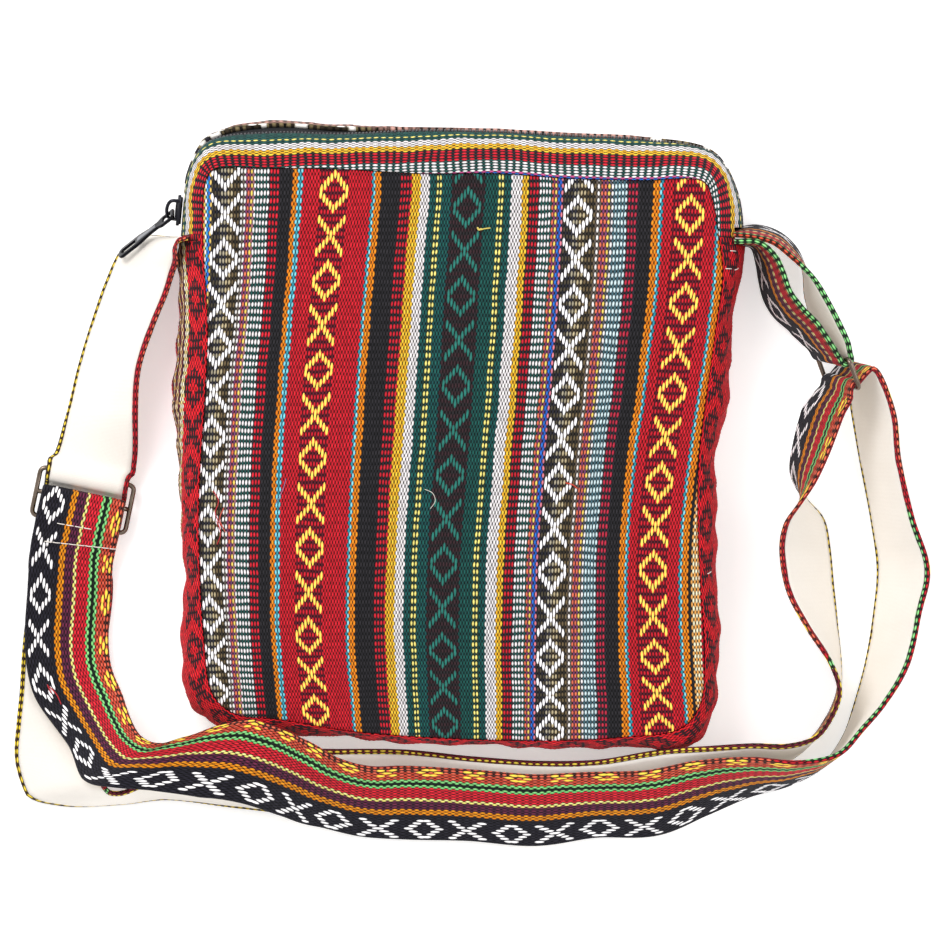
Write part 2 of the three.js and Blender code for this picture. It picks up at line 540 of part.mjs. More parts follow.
// A wire frame seen flat: an outer rectangle with windows, its edges bevelled round
function wireFrame(reach, windows) {
  const half = wireThick / 2;
  const wide = strapWidth / 2 + frameClear;
  const outer = new THREE.Shape();
  const corner = wireThick;
  const outerX = wide + wireThick;
  const outerY = reach + half;
  outer.moveTo(-outerX + corner, -outerY);
  outer.lineTo(outerX - corner, -outerY);
  outer.absarc(outerX - corner, -outerY + corner, corner, -Math.PI / 2, 0);
  outer.absarc(outerX - corner, outerY - corner, corner, 0, Math.PI / 2);
  outer.absarc(-outerX + corner, outerY - corner, corner, Math.PI / 2, Math.PI);
  outer.absarc(-outerX + corner, -outerY + corner, corner, Math.PI, 1.5 * Math.PI);
  for (const [low, high] of windows) {
    const hole = new THREE.Path();
    hole.moveTo(-wide, low + half);
    hole.lineTo(-wide, high - half);
    hole.lineTo(wide, high - half);
    hole.lineTo(wide, low + half);
    outer.holes.push(hole);
  }
  const bevel = wireThick * 0.3;
  const geometry = new THREE.ExtrudeGeometry(outer, {
    depth: wireThick - 2 * bevel,
    bevelEnabled: true,
    bevelThickness: bevel,
    bevelSize: bevel,
    bevelOffset: -bevel,
    bevelSegments: 1,
    curveSegments: 3,
  });
  geometry.translate(0, 0, -(wireThick - 2 * bevel) / 2);
  return geometry;
}

function placeFrame(mesh, centre, across, along) {
  const face = across.clone().cross(along);
  mesh.quaternion.setFromRotationMatrix(new THREE.Matrix4().makeBasis(across, along, face));
  mesh.position.copy(centre);
}

// Strap slider on the left: the strap's end is folded round its middle bar
const glideAcross = new THREE.Vector3(0.979, -0.204, 0).normalize();
const glideAlong = new THREE.Vector3(-0.204, -0.979, 0).normalize();
const tailHigh = restHigh + layerPitch;
const glideHigh = tailHigh + foldRadius;
const topHigh = glideHigh + foldRadius;
const glideCentre = new THREE.Vector3(-0.743 * panelWidth, -0.085 * panelHeight, glideHigh);

function glideStation(along, high) {
  const middle = glideCentre.clone().addScaledVector(glideAlong, along).setZ(high);
  return {
    m: middle.clone().addScaledVector(glideAcross, -strapWidth / 2),
    g: middle.clone().addScaledVector(glideAcross, strapWidth / 2),
  };
}

function foldTurns(first, last, spans) {
  return placesBetween(first, last, spans).map((degrees) => THREE.MathUtils.degToRad(degrees));
}

const tailStations = [
  glideStation(strapTail, tailHigh),
  glideStation(glideReach + 8, tailHigh + 0.3),
  glideStation(glideReach + 3, topHigh - 0.9),
  glideStation(glideReach, topHigh + 0.1),
  glideStation(glideReach - 3.2, topHigh - 1),
  glideStation(glideReach * 0.45, tailHigh + 1.6),
  ...foldTurns(0, 180, 6).map((turn) => (
    glideStation(-foldRadius * Math.sin(turn), glideHigh - foldRadius * Math.cos(turn))
  )),
  glideStation(glideReach * 0.5, topHigh + 1.4),
  glideStation(glideReach, topHigh + layerPitch + 0.2),
  glideStation(glideReach + 6, topHigh + layerPitch - 1.4),
  glideStation(strapTail - 3, tailHigh + layerPitch + 1.2),
];
const throughStations = [
  glideStation(strapTail + 2, restHigh),
  glideStation(glideReach, restHigh),
  glideStation(glideReach * 0.4, restHigh),
  glideStation(0, restHigh),
  glideStation(-glideReach * 0.36, restHigh + 0.6),
  glideStation(-glideReach * 0.56, restHigh + 2.8),
  glideStation(-glideReach * 0.64, glideHigh + 0.3),
  glideStation(-glideReach * 0.8, topHigh - 0.5),
  glideStation(-glideReach, topHigh + 0.1),
  glideStation(-glideReach - 3.2, topHigh - 1.2),
  glideStation(-glideReach - 9, restHigh + 2.4),
];

// Ring on the right: it stands on edge, with the tab on its first bar and the strap on its second
const ringUp = new THREE.Vector3(0.30, -0.10, 0.95).normalize();
const ringAlong = new THREE.Vector3(0.34, -0.90, -0.20).projectOnPlane(ringUp).normalize();
const ringSide = ringAlong.clone().cross(ringUp);
const ringHalf = strapWidth / 2 + frameClear + wireThick;
const ringLow = ringHalf * ringUp.z + ringReach * Math.abs(ringAlong.z) + wireThick;
const ringCentre = new THREE.Vector3(0.755 * panelWidth, 0.149 * panelHeight, ringLow);

function ringStation(along, side, mUp) {
  const middle = ringCentre.clone().addScaledVector(ringAlong, along).addScaledVector(ringSide, side);
  return {
    m: middle.clone().addScaledVector(ringUp, mUp * strapWidth / 2),
    g: middle.clone().addScaledVector(ringUp, -mUp * strapWidth / 2),
  };
}

const strapRingStations = [
  ringStation(ringReach * 0.30, -10.5, -1),
  ringStation(ringReach * 0.45, -5.5, -1),
  ...foldTurns(-40, 50, 4).map((turn) => (
    ringStation(ringReach - foldRadius * Math.cos(turn), foldRadius * Math.sin(turn), -1)
  )),
  ringStation(ringReach + 1.2, foldRadius + 1.2, -1),
];
const tabRingStations = [
  ringStation(-ringReach - 5, -foldRadius - 0.6, 1),
  ringStation(-ringReach - 1.8, -foldRadius - 0.1, 1),
  ...foldTurns(0, 180, 6).map((turn) => (
    ringStation(-ringReach + foldRadius * Math.sin(turn), -foldRadius * Math.cos(turn), 1)
  )),
  ringStation(-ringReach - 1.8, foldRadius + 0.2, 1),
  ringStation(-ringReach - 5, foldRadius + 1.2, 1),
];

const strapRows = [
  ...tailStations,
  ...tableStations(STRAP_TO_RING),
  ...strapRingStations,
  ...tableStations(RING_TO_GLIDE),
  ...throughStations,
  ...tableStations(GLIDE_TO_BAG),
];
const tabRows = [
  ...tableStations(TAB_TO_RING),
  ...tabRingStations,
  ...tableStations(RING_TO_BAG),
];
const strapStations = stripStations(strapRows, 1);
const tabStations = stripStations(tabRows, 1);
addPiece('strap_woven', stripGeometry(strapStations, weaveSection), 0x8c2f35, 0.9, 0);
addPiece('strap_lining', stripGeometry(strapStations, liningSection), 0xe6dfd0, 0.95, 0);
addPiece('ring_tab_woven', stripGeometry(tabStations, weaveSection), 0x8c2f35, 0.9, 0);
addPiece('ring_tab_lining', stripGeometry(tabStations, liningSection), 0xe6dfd0, 0.95, 0);

const strapSlider = addPiece(
  'strap_slider',
  wireFrame(glideReach, [[-glideReach, 0], [0, glideReach]]),
  0x8e867a, 0.35, 1,
);
placeFrame(strapSlider, glideCentre, glideAcross, glideAlong);
const strapRing = addPiece('strap_ring', wireFrame(ringReach, [[-ringReach, ringReach]]), 0x8e867a, 0.35, 1);
placeFrame(strapRing, ringCentre, ringUp, ringAlong);

// Zip slider: a plate over the teeth with a wire arch, twisted so that the pull can lie down
const sliderTurn = 0.78;
const sliderSpot = sideFrame(sliderTurn, zipRow);
const sliderOut = sliderSpot.outward;
const pullAxis = sliderSpot.round.clone().multiplyScalar(Math.sin(pullTilt))
  .addScaledVector(sliderSpot.across, Math.cos(pullTilt))
  .projectOnPlane(sliderOut)
  .normalize();
const bailAlong = pullAxis.clone().cross(sliderOut);
const plateBase = sliderSpot.point.clone().addScaledVector(sliderOut, seamGap);

function zipSlider() {
  const plate = new THREE.Shape();
  const half = sliderWidth / 2;
  const nose = half * 0.62;
  plate.moveTo(-sliderLength / 2, -nose);
  plate.quadraticCurveTo(0, -nose, sliderLength / 2 - half, -half);
  plate.quadraticCurveTo(sliderLength / 2, -half, sliderLength / 2, 0);
  plate.quadraticCurveTo(sliderLength / 2, half, sliderLength / 2 - half, half);
  plate.quadraticCurveTo(0, nose, -sliderLength / 2, nose);
  const plateGeometry = new THREE.ExtrudeGeometry(plate, {
    depth: sliderThick, bevelEnabled: false, curveSegments: 4,
  });
  const upright = new THREE.Matrix4().makeBasis(
    sliderSpot.round, sliderOut.clone().cross(sliderSpot.round), sliderOut,
  );
  plateGeometry.applyMatrix4(upright);
  plateGeometry.translate(plateBase.x, plateBase.y, plateBase.z);

  const foot = (side) => plateBase.clone().addScaledVector(bailAlong, side * bailLength / 2)
    .addScaledVector(sliderOut, sliderThick / 2);
  const knee = (side) => plateBase.clone().addScaledVector(bailAlong, side * bailLength * 0.44)
    .addScaledVector(sliderOut, sliderThick + bailRise * 0.7);
  const crown = plateBase.clone().addScaledVector(sliderOut, sliderThick + bailRise);
  const arch = new THREE.CatmullRomCurve3([foot(-1), knee(-1), crown, knee(1), foot(1)]);
  const wire = new THREE.Shape();
  wire.absarc(0, 0, bailWire / 2, 0, 2 * Math.PI);
  const bail = new THREE.ExtrudeGeometry(wire, {
    steps: 14, extrudePath: arch, bevelEnabled: false, curveSegments: 4,
  });
  return geometryOf(solidOf(plateGeometry).add(solidOf(bail)));
}

addPiece('zip_slider', zipSlider(), 0x141416, 0.3, 0.7);

// Zip pull: a flat tongue whose pin lies in the arch
const pinPlace = plateBase.clone()
  .addScaledVector(sliderOut, sliderThick + bailRise * 0.42)
  .addScaledVector(bailAlong, -bailLength * 0.25);
const pullAlong = sliderOut.clone().multiplyScalar(Math.cos(pullLean))
  .addScaledVector(bailAlong, -Math.sin(pullLean));

function zipPull() {
  const head = pullPin / 2 + seamGap;
  const half = pullWidth / 2;
  const neck = pullNeck / 2;
  const tongue = new THREE.Shape();
  tongue.moveTo(-head, -half);
  tongue.lineTo(pullLength * 0.17, -half);
  tongue.quadraticCurveTo(pullLength * 0.24, -neck, pullLength * 0.34, -neck);
  tongue.quadraticCurveTo(pullLength * 0.5, -neck, pullLength * 0.6, -half);
  tongue.lineTo(pullLength - half, -half);
  tongue.absarc(pullLength - half, 0, half, -Math.PI / 2, Math.PI / 2);
  tongue.lineTo(pullLength * 0.6, half);
  tongue.quadraticCurveTo(pullLength * 0.5, neck, pullLength * 0.34, neck);
  tongue.quadraticCurveTo(pullLength * 0.24, neck, pullLength * 0.17, half);
  tongue.lineTo(-head, half);
  const eye = new THREE.Path();
  const eyeHalf = half - 1.6;
  eye.moveTo(pullPin / 2, -eyeHalf);
  eye.lineTo(pullPin / 2, eyeHalf);
  eye.lineTo(pullLength * 0.165, eyeHalf);
  eye.lineTo(pullLength * 0.165, -eyeHalf);
  const slot = new THREE.Path();
  const slotHalf = half * 0.4;
  slot.moveTo(pullLength * 0.68, -slotHalf);
  slot.lineTo(pullLength - half, -slotHalf);
  slot.absarc(pullLength - half, 0, slotHalf, -Math.PI / 2, Math.PI / 2);
  slot.lineTo(pullLength * 0.68, slotHalf);
  tongue.holes.push(eye, slot);
  const geometry = new THREE.ExtrudeGeometry(tongue, { depth: pullThick, bevelEnabled: false, curveSegments: 5 });
  geometry.translate(0, 0, -pullThick / 2);
  return geometry;
}

const zipPullMesh = addPiece('zip_pull', zipPull(), 0x2b2c30, 0.25, 0.8);
placeFrame(zipPullMesh, pinPlace, pullAlong, pullAxis);

export default model;
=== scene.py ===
"""Striped hemp crossbody bag, lying on its back with its strap laid round it."""
import math

import bmesh
import bpy
import numpy as np
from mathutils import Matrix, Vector
from mathutils.bvhtree import BVHTree


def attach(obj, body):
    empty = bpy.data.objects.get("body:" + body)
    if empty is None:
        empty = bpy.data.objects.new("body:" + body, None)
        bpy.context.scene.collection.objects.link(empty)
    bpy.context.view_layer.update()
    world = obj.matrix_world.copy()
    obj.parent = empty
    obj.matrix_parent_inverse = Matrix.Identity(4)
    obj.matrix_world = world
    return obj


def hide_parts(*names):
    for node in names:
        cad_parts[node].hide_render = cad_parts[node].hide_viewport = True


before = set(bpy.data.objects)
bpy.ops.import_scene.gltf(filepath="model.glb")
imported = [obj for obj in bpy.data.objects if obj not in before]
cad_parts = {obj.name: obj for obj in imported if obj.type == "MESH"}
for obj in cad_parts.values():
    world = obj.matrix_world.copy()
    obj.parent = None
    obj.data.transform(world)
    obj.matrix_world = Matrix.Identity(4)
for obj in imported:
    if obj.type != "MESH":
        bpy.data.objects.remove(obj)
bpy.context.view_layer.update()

# Front panel: the face of the bag, cut from one width of warp-faced hemp cloth, so its stripes
# and woven figures run from the zip to the bottom, and sewn to the side cloth all round.
PANEL_WIDTH = 0.227
PANEL_HEIGHT = 0.250
SEAM_HEIGHT = 0.040
PANEL_RISE = 0.008
CLOTH_THICK = 0.002
SEAM_GAP = 0.0003
TABLE_CLEAR = 0.00015
# The weave: a warp thread every 0.7 mm and a pick of weft every 1.66 mm. The finest real threads are
# thinner, and are drawn this coarse so that each stitch shows. A woven figure repeats every 24 picks.
THREAD_PITCH = 0.0007
PICK_PITCH = 0.00166
FIGURE_PICKS = 24
# The half size of a stitch and how much squarer than a diamond it is, then the half size of a thread
# that floats in a figure: in pairs of threads across and in picks along
STITCH_SPREAD = 0.74
STITCH_SQUARE = 0.085
FLOAT_WIDE = 0.41
FLOAT_LONG = 1.25
# Noise cells to a metre: the threads' wander, over about 17 mm, and their fibres, about 0.24 mm wide
WANDER_SCALE = 60.0
FIBRE_SCALE = 4200.0
# The panel's grid, how high its seam puckers, and how deep its edge is drawn in by the seam
PANEL_STATIONS = 420
PANEL_RINGS = 64
PUCKER_HIGH = 0.00028
SEAM_DIP = 0.0011

# Round the bag, clockwise from the left end of the zip: front seam and widest line of the side as
# shares of the panel sizes, the seam's height as a share of SEAM_HEIGHT, and how far out the zip is
SIDES = np.array([
    # seam x, seam y, widest x, widest y, high, zip out
    (-0.500, 0.385, -0.546, 0.385, 0.97, 1.00),
    (-0.500, 0.446, -0.541, 0.450, 0.99, 0.98),
    (-0.492, 0.491, -0.535, 0.506, 1.00, 0.94),
    (-0.476, 0.508, -0.496, 0.572, 1.00, 0.84),
    (-0.369, 0.510, -0.373, 0.603, 1.00, 0.75),
    (-0.230, 0.508, -0.230, 0.595, 1.02, 0.80),
    (-0.071, 0.500, -0.071, 0.589, 1.03, 0.94),
    (0.087, 0.500, 0.087, 0.585, 1.02, 0.96),
    (0.226, 0.491, 0.226, 0.578, 1.02, 0.96),
    (0.365, 0.488, 0.371, 0.571, 1.00, 0.96),
    (0.488, 0.486, 0.511, 0.545, 1.00, 0.96),
    (0.506, 0.455, 0.559, 0.473, 1.00, 0.98),
    (0.519, 0.387, 0.571, 0.387, 0.98, 1.00),
    (0.527, 0.320, 0.567, 0.320, 0.96, 1.00),
    (0.513, 0.221, 0.545, 0.230, 0.94, 1.00),
    (0.494, 0.095, 0.539, 0.081, 0.95, 1.00),
    (0.480, -0.013, 0.511, -0.013, 0.92, 1.00),
    (0.478, -0.121, 0.517, -0.110, 0.90, 1.00),
    (0.484, -0.247, 0.517, -0.247, 0.88, 1.00),
    (0.492, -0.364, 0.521, -0.373, 0.86, 1.00),
    (0.482, -0.454, 0.509, -0.472, 0.84, 1.00),
    (0.444, -0.495, 0.468, -0.524, 0.84, 1.00),
    (0.325, -0.511, 0.329, -0.531, 0.84, 1.00),
    (0.167, -0.517, 0.167, -0.529, 0.85, 1.00),
    (-0.052, -0.511, -0.052, -0.523, 0.85, 1.00),
    (-0.214, -0.499, -0.214, -0.513, 0.84, 1.00),
    (-0.349, -0.479, -0.349, -0.504, 0.82, 1.00),
    (-0.440, -0.468, -0.464, -0.495, 0.80, 1.00),
    (-0.482, -0.432, -0.523, -0.459, 0.82, 1.00),
    (-0.498, -0.337, -0.543, -0.346, 0.86, 1.00),
    (-0.507, -0.193, -0.539, -0.193, 0.90, 1.00),
    (-0.507, -0.067, -0.547, -0.067, 0.93, 1.00),
    (-0.496, 0.095, -0.559, 0.095, 0.95, 1.00),
    (-0.490, 0.221, -0.551, 0.221, 0.96, 1.00),
    (-0.496, 0.322, -0.549, 0.322, 0.96, 1.00),
])
SIDE_SECTION = np.array([
    # share of the way out, share of the way down
    (0.00, 0.00), (0.30, 0.05), (0.62, 0.14), (0.88, 0.28), (1.00, 0.43),
    (1.00, 0.60), (0.90, 0.79), (0.72, 0.93), (0.48, 1.00),
])
ZIP_ROW = 4
LAST_ROW = len(SIDE_SECTION) - 1

# Soft folds of the panel: place and half sizes as shares of the panel, height in millimetres
PANEL_FOLDS = [
    # x, y, wide, tall, high
    (-0.30, 0.36, 0.22, 0.05, -2.0),
    (0.34, 0.30, 0.05, 0.22, 1.8),
    (0.36, -0.02, 0.06, 0.16, -2.4),
    (-0.32, -0.08, 0.07, 0.25, 1.6),
    (-0.05, 0.30, 0.25, 0.06, 1.4),
    (0.10, -0.36, 0.28, 0.07, -1.8),
]

# How the woven figures run down the panel, in millimetres: height, where the five figure stripes
# cross it, and the length of cloth measured down from the zip side
STRIPE_RUN = np.array([
    # y, left white, left red, green, right white, right red, along
    (118.4, -102.6, -53.8, 5.0, 54.9, 104.9, 118.4),
    (77.9, -103.7, -57.8, 2.3, 53.1, 102.6, 77.9),
    (37.4, -107.1, -61.2, 0.0, 50.0, 97.7, 37.4),
    (-3.2, -109.4, -63.9, -2.7, 46.4, 91.6, -3.2),
    (-43.7, -110.7, -65.3, -5.9, 43.7, 87.8, -43.7),
    (-84.2, -108.9, -65.7, -6.8, 42.3, 88.0, -84.6),
    (-124.7, -106.4, -61.7, -5.4, 41.9, 90.9, -133.0),
])
STRIPE_PLACES = (-108.7, -63.0, -2.0, 47.7, 93.2)

# The cloth's stripes from left to right: where each starts in millimetres from the panel's middle,
# and the colours of its even and odd warp threads
PANEL_STRIPES = [
    (-132.0, "e9e4e6", "1f4a45"),
    (-126.0, "d4604c", "5c3a6b"),
    (-121.2, "d62536", "26242a"),
    (-118.8, "efe9e6", "e9c860"),
    (-117.4, "2f6fd0", "45a6e0"),
    (-116.0, "d77a8c", "e2c06a"),
    (-115.2, "4a4336", "24232c"),
    (-111.2, "a39a84", "2b2a33"),
    (-108.4, "b9a985", "3a3024"),
    (-105.6, "6a5a40", "2e2922"),
    (-102.6, "ece7e4", "5a5048"),
    (-100.9, "dc6f55", "74365f"),
    (-99.2, "eccb62", "6d3c66"),
    (-98.0, "ece7e4", "96606a"),
    (-96.9, "eee9ea", "1c4a46"),
    (-91.2, "d62536", "26242a"),
    (-86.2, "2b292d", "201f23"),
    (-81.2, "f0901e", "e07a16"),
    (-78.6, "7fcfe0", "2f8fa4"),
    (-77.0, "d3202f", "bf1a29"),
    (-69.6, "5a1626", "c81e2e"),
    (-56.4, "d3202f", "bf1a29"),
    (-46.4, "8bd4e2", "2f8fa4"),
    (-44.6, "f0901e", "e07a16"),
    (-41.9, "2b292d", "201f23"),
    (-32.8, "c92333", "26242a"),
    (-28.2, "f1c53a", "e2a726"),
    (-23.9, "eee9e8", "e4dee0"),
    (-19.4, "1c5a55", "17494a"),
    (-16.3, "efe27e", "1d3a33"),
    (-13.4, "1c5a55", "17494a"),
    (-9.2, "38252a", "282427"),
    (5.2, "1b5650", "174845"),
    (12.0, "efe27e", "1d3a33"),
    (14.9, "1c5a55", "17494a"),
    (18.0, "eee9e8", "e4dee0"),
    (22.5, "f1c53a", "e2a726"),
    (24.8, "c92333", "26242a"),
    (29.8, "eee9ea", "1c4a46"),
    (35.6, "dc6f55", "74365f"),
    (37.0, "eccb62", "6d3c66"),
    (38.4, "2f6fd0", "2a57b4"),
    (39.8, "d77a8c", "e2a06a"),
    (40.6, "4a4336", "24232c"),
    (45.0, "a39a84", "2b2a33"),
    (47.8, "b9a985", "3a3024"),
    (50.6, "6a5a40", "2e2922"),
    (54.8, "ece7e4", "5a5048"),
    (57.2, "dc6f55", "74365f"),
    (59.0, "eccb62", "6d3c66"),
    (60.4, "e8e3e4", "4a4a52"),
    (61.8, "c9dfe4", "3e5f6a"),
    (67.0, "b92d45", "2a2830"),
    (72.2, "2b292d", "201f23"),
    (77.8, "f0901e", "e07a16"),
    (80.4, "7fcfe0", "2f8fa4"),
    (81.9, "d3202f", "bf1a29"),
    (86.4, "5a1626", "c81e2e"),
    (100.0, "d3202f", "bf1a29"),
    (105.0, "8bd4e2", "2f8fa4"),
    (106.8, "f0901e", "e07a16"),
    (109.4, "2b292d", "201f23"),
    (111.2, "efe5c0", "e0a052"),
    (115.0, "5a1626", "c81e2e"),
]
# Woven figures: middle in millimetres across and along the cloth, colour, how many pairs of threads
# each side of the middle it takes, and how long its slopes are
PANEL_FIGURES = [
    (-108.7, 7.2, "f1eef0", 4, 1.0),
    (-63.0, -2.7, "f3cf57", 4, 1.0),
    (-2.0, -9.9, "256a60", 4, 1.0),
    (47.7, -13.5, "f1eef0", 4, 1.0),
    (93.2, -13.0, "f3cf57", 4, 1.0),
]


def linear(colour):
    """Linear RGBA of an sRGB hex colour."""
    parts = [int(colour[i:i + 2], 16) / 255 for i in (0, 2, 4)]
    return [c / 12.92 if c <= 0.04045 else ((c + 0.055) / 1.055) ** 2.4 for c in parts] + [1.0]


def add(tree, kind, links=None, **settings):
    """Adds one node: settings are its properties, links its inputs by name or number."""
    node = tree.nodes.new(kind)
    for name, value in settings.items():
        setattr(node, name, value)
    for name, value in (links or {}).items():
        if isinstance(value, bpy.types.NodeSocket):
            tree.links.new(value, node.inputs[name])
        else:
            node.inputs[name].default_value = value
    return node


def work_out(tree, known, steps):
    """Adds a chain of sums: each step is a name, an operation and what it works on."""
    for name, operation, *parts in steps:
        links = {i: known[part] if isinstance(part, str) else part for i, part in enumerate(parts)}
        known[name] = add(tree, "ShaderNodeMath", links, operation=operation).outputs[0]
    return known


def smooth_curve(rows, shares, closed=False):
    """Points of the smooth curve through the rows, at shares of its rows from 0 to 1."""
    count = len(rows)
    spans = count if closed else count - 1
    place = np.asarray(shares, float) * spans
    if closed:
        place = place % count
    first = np.clip(np.floor(place).astype(int), 0, spans - 1)
    part = np.clip(place - first, 0, 1)[..., None]
    if closed:
        p0, p1, p2, p3 = (rows[(first + step) % count] for step in (-1, 0, 1, 2))
    else:
        padded = np.vstack([2 * rows[0] - rows[1], rows, 2 * rows[-1] - rows[-2]])
        p0, p1, p2, p3 = (padded[first + step] for step in (0, 1, 2, 3))
    d0, d1, d2 = (np.sqrt(np.linalg.norm(b - a, axis=-1, keepdims=True))
                  for a, b in ((p0, p1), (p1, p2), (p2, p3)))
    d1 = np.where(d1 < 1e-6, 1.0, d1)
    d0 = np.where(d0 < 1e-6, d1, d0)
    d2 = np.where(d2 < 1e-6, d1, d2)
    t1 = ((p1 - p0) / d0 - (p2 - p0) / (d0 + d1) + (p2 - p1) / d1) * d1
    t2 = ((p2 - p1) / d1 - (p3 - p1) / (d1 + d2) + (p3 - p2) / d2) * d1
    return (p1 + t1 * part + (-3 * p1 + 3 * p2 - 2 * t1 - t2) * part ** 2
            + (2 * p1 - 2 * p2 + t1 + t2) * part ** 3)


def smooth_step(value, low, high):
    share = np.clip((value - low) / (high - low), 0, 1)
    return share * share * (3 - 2 * share)


def side_points(turns, downs):
    """Points of the bag's side: turns count rows round the bag, downs rows down its section."""
    turns, downs = np.broadcast_arrays(np.asarray(turns, float), np.asarray(downs, float))
    panel = np.array([PANEL_WIDTH, PANEL_HEIGHT])
    seam_rows = np.column_stack([SIDES[:, 0:2] * panel, SIDES[:, 4] * SEAM_HEIGHT]) * 1000
    rim_rows = np.column_stack([SIDES[:, 2:4] * panel * 1000, SIDES[:, 5]])
    seam = smooth_curve(seam_rows, turns / len(SIDES), closed=True) / 1000
    rim = smooth_curve(rim_rows, turns / len(SIDES), closed=True)
    section = smooth_curve(SIDE_SECTION, np.clip(downs / LAST_ROW, 0, 1))
    past = smooth_step(downs, ZIP_ROW, ZIP_ROW + 1.5)
    out = section[..., 0] * (rim[..., 2] * (1 - past) + past)
    high = seam[..., 2] + (TABLE_CLEAR - seam[..., 2]) * section[..., 1]
    flat = seam[..., :2] + (rim[..., :2] / 1000 - seam[..., :2]) * out[..., None]
    return np.concatenate([flat, high[..., None]], axis=-1)


def side_outward(turns, downs):
    """Directions out of the bag's side."""
    step = 0.04
    low, high = np.clip(downs - step, 0, LAST_ROW), np.clip(downs + step, 0, LAST_ROW)
    round_way = side_points(turns + step, downs) - side_points(turns - step, downs)
    down_way = side_points(turns, high) - side_points(turns, low)
    outward = np.cross(round_way, down_way)
    outward /= np.linalg.norm(outward, axis=-1, keepdims=True)
    outward[downs <= 0] = (0, 0, 1)
    outward[downs >= LAST_ROW] = (0, 0, -1)
    return outward


def cloth_mesh(name, outer, inner, across, along, closed=False):
    """A cloth wall between two grids of points, with its cloth coordinates in metres as its UV."""
    rows, columns = outer.shape[:2]
    points = np.concatenate([outer.reshape(-1, 3), inner.reshape(-1, 3)])
    cloth = np.stack([across, along], axis=-1).reshape(-1, 2)
    cloth = np.concatenate([cloth, cloth])
    i, j = np.meshgrid(np.arange(rows if closed else rows - 1), np.arange(columns - 1), indexing="ij")
    a, b = (i * columns + j).ravel(), (((i + 1) % rows) * columns + j).ravel()
    half = rows * columns
    faces = [np.stack([a, b, b + 1, a + 1], 1), np.stack([a, a + 1, b + 1, b], 1) + half]
    ring = np.arange(rows if closed else rows - 1)
    after = (ring + 1) % rows
    edges = ((0, True),) if closed else ((0, True), (columns - 1, False))
    for j, turned in edges:
        a, b = ring * columns + j, after * columns + j
        strip = np.stack([a, b, b + half, a + half], 1)
        faces.append(strip[:, ::-1] if turned else strip)
    if not closed:
        across_ring = np.arange(columns - 1)
        for i, turned in ((0, False), (rows - 1, True)):
            a = i * columns + across_ring
            strip = np.stack([a, a + 1, a + 1 + half, a + half], 1)
            faces.append(strip[:, ::-1] if turned else strip)
    faces = np.concatenate(faces)
    corners = points[faces]
    volume = np.einsum("ij,ij->i", corners[:, 0], np.cross(corners[:, 1], corners[:, 2])).sum()
    volume += np.einsum("ij,ij->i", corners[:, 0], np.cross(corners[:, 2], corners[:, 3])).sum()
    if volume < 0:
        faces = faces[:, ::-1]
    mesh = bpy.data.meshes.new(name)
    mesh.from_pydata(points.tolist(), [], faces.tolist())
    layer = mesh.uv_layers.new(name="cloth")
    loops = np.empty(len(mesh.loops), int)
    mesh.loops.foreach_get("vertex_index", loops)
    layer.data.foreach_set("uv", cloth[loops].ravel())
    if closed:
        form = bmesh.new()
        form.from_mesh(mesh)
        bmesh.ops.remove_doubles(form, verts=form.verts, dist=1e-7)
        form.to_mesh(mesh)
        form.free()
    mesh.shade_smooth()
    piece = bpy.data.objects.new(name, mesh)
    bpy.context.scene.collection.objects.link(piece)
    return piece


def bare_material(name):
    """A new material whose nodes are still to be added, and its node tree."""
    material = bpy.data.materials.new(name)
    material.use_nodes = True
    material.node_tree.nodes.clear()
    return material, material.node_tree


def colour_bands(tree, stripes, place, column):
    """Colour of a warp thread from its place in millimetres: a ramp holds at most 30 stripes."""
    colour = None
    for start in range(0, len(stripes), 30):
        part = stripes[start:start + 30]
        low, high = part[0][0], part[-1][0] + 10
        share = work_out(tree, {"place": place}, [
            ("from", "SUBTRACT", "place", low),
            ("share", "DIVIDE", "from", high - low),
            ("past", "GREATER_THAN", "place", low),
        ])
        ramp = add(tree, "ShaderNodeValToRGB", {0: share["share"]})
        ramp.color_ramp.interpolation = "CONSTANT"
        bands = ramp.color_ramp.elements
        bands[0].position, bands[0].color = 0, linear(part[0][column])
        bands.remove(bands[1])
        for row in part[1:]:
            bands.new((row[0] - low) / (high - low)).color = linear(row[column])
        if colour is None:
            colour = ramp.outputs[0]
        else:
            mix = add(tree, "ShaderNodeMix", {0: share["past"], 6: colour, 7: ramp.outputs[0]},
                      data_type="RGBA")
            colour = mix.outputs[2]
    return colour


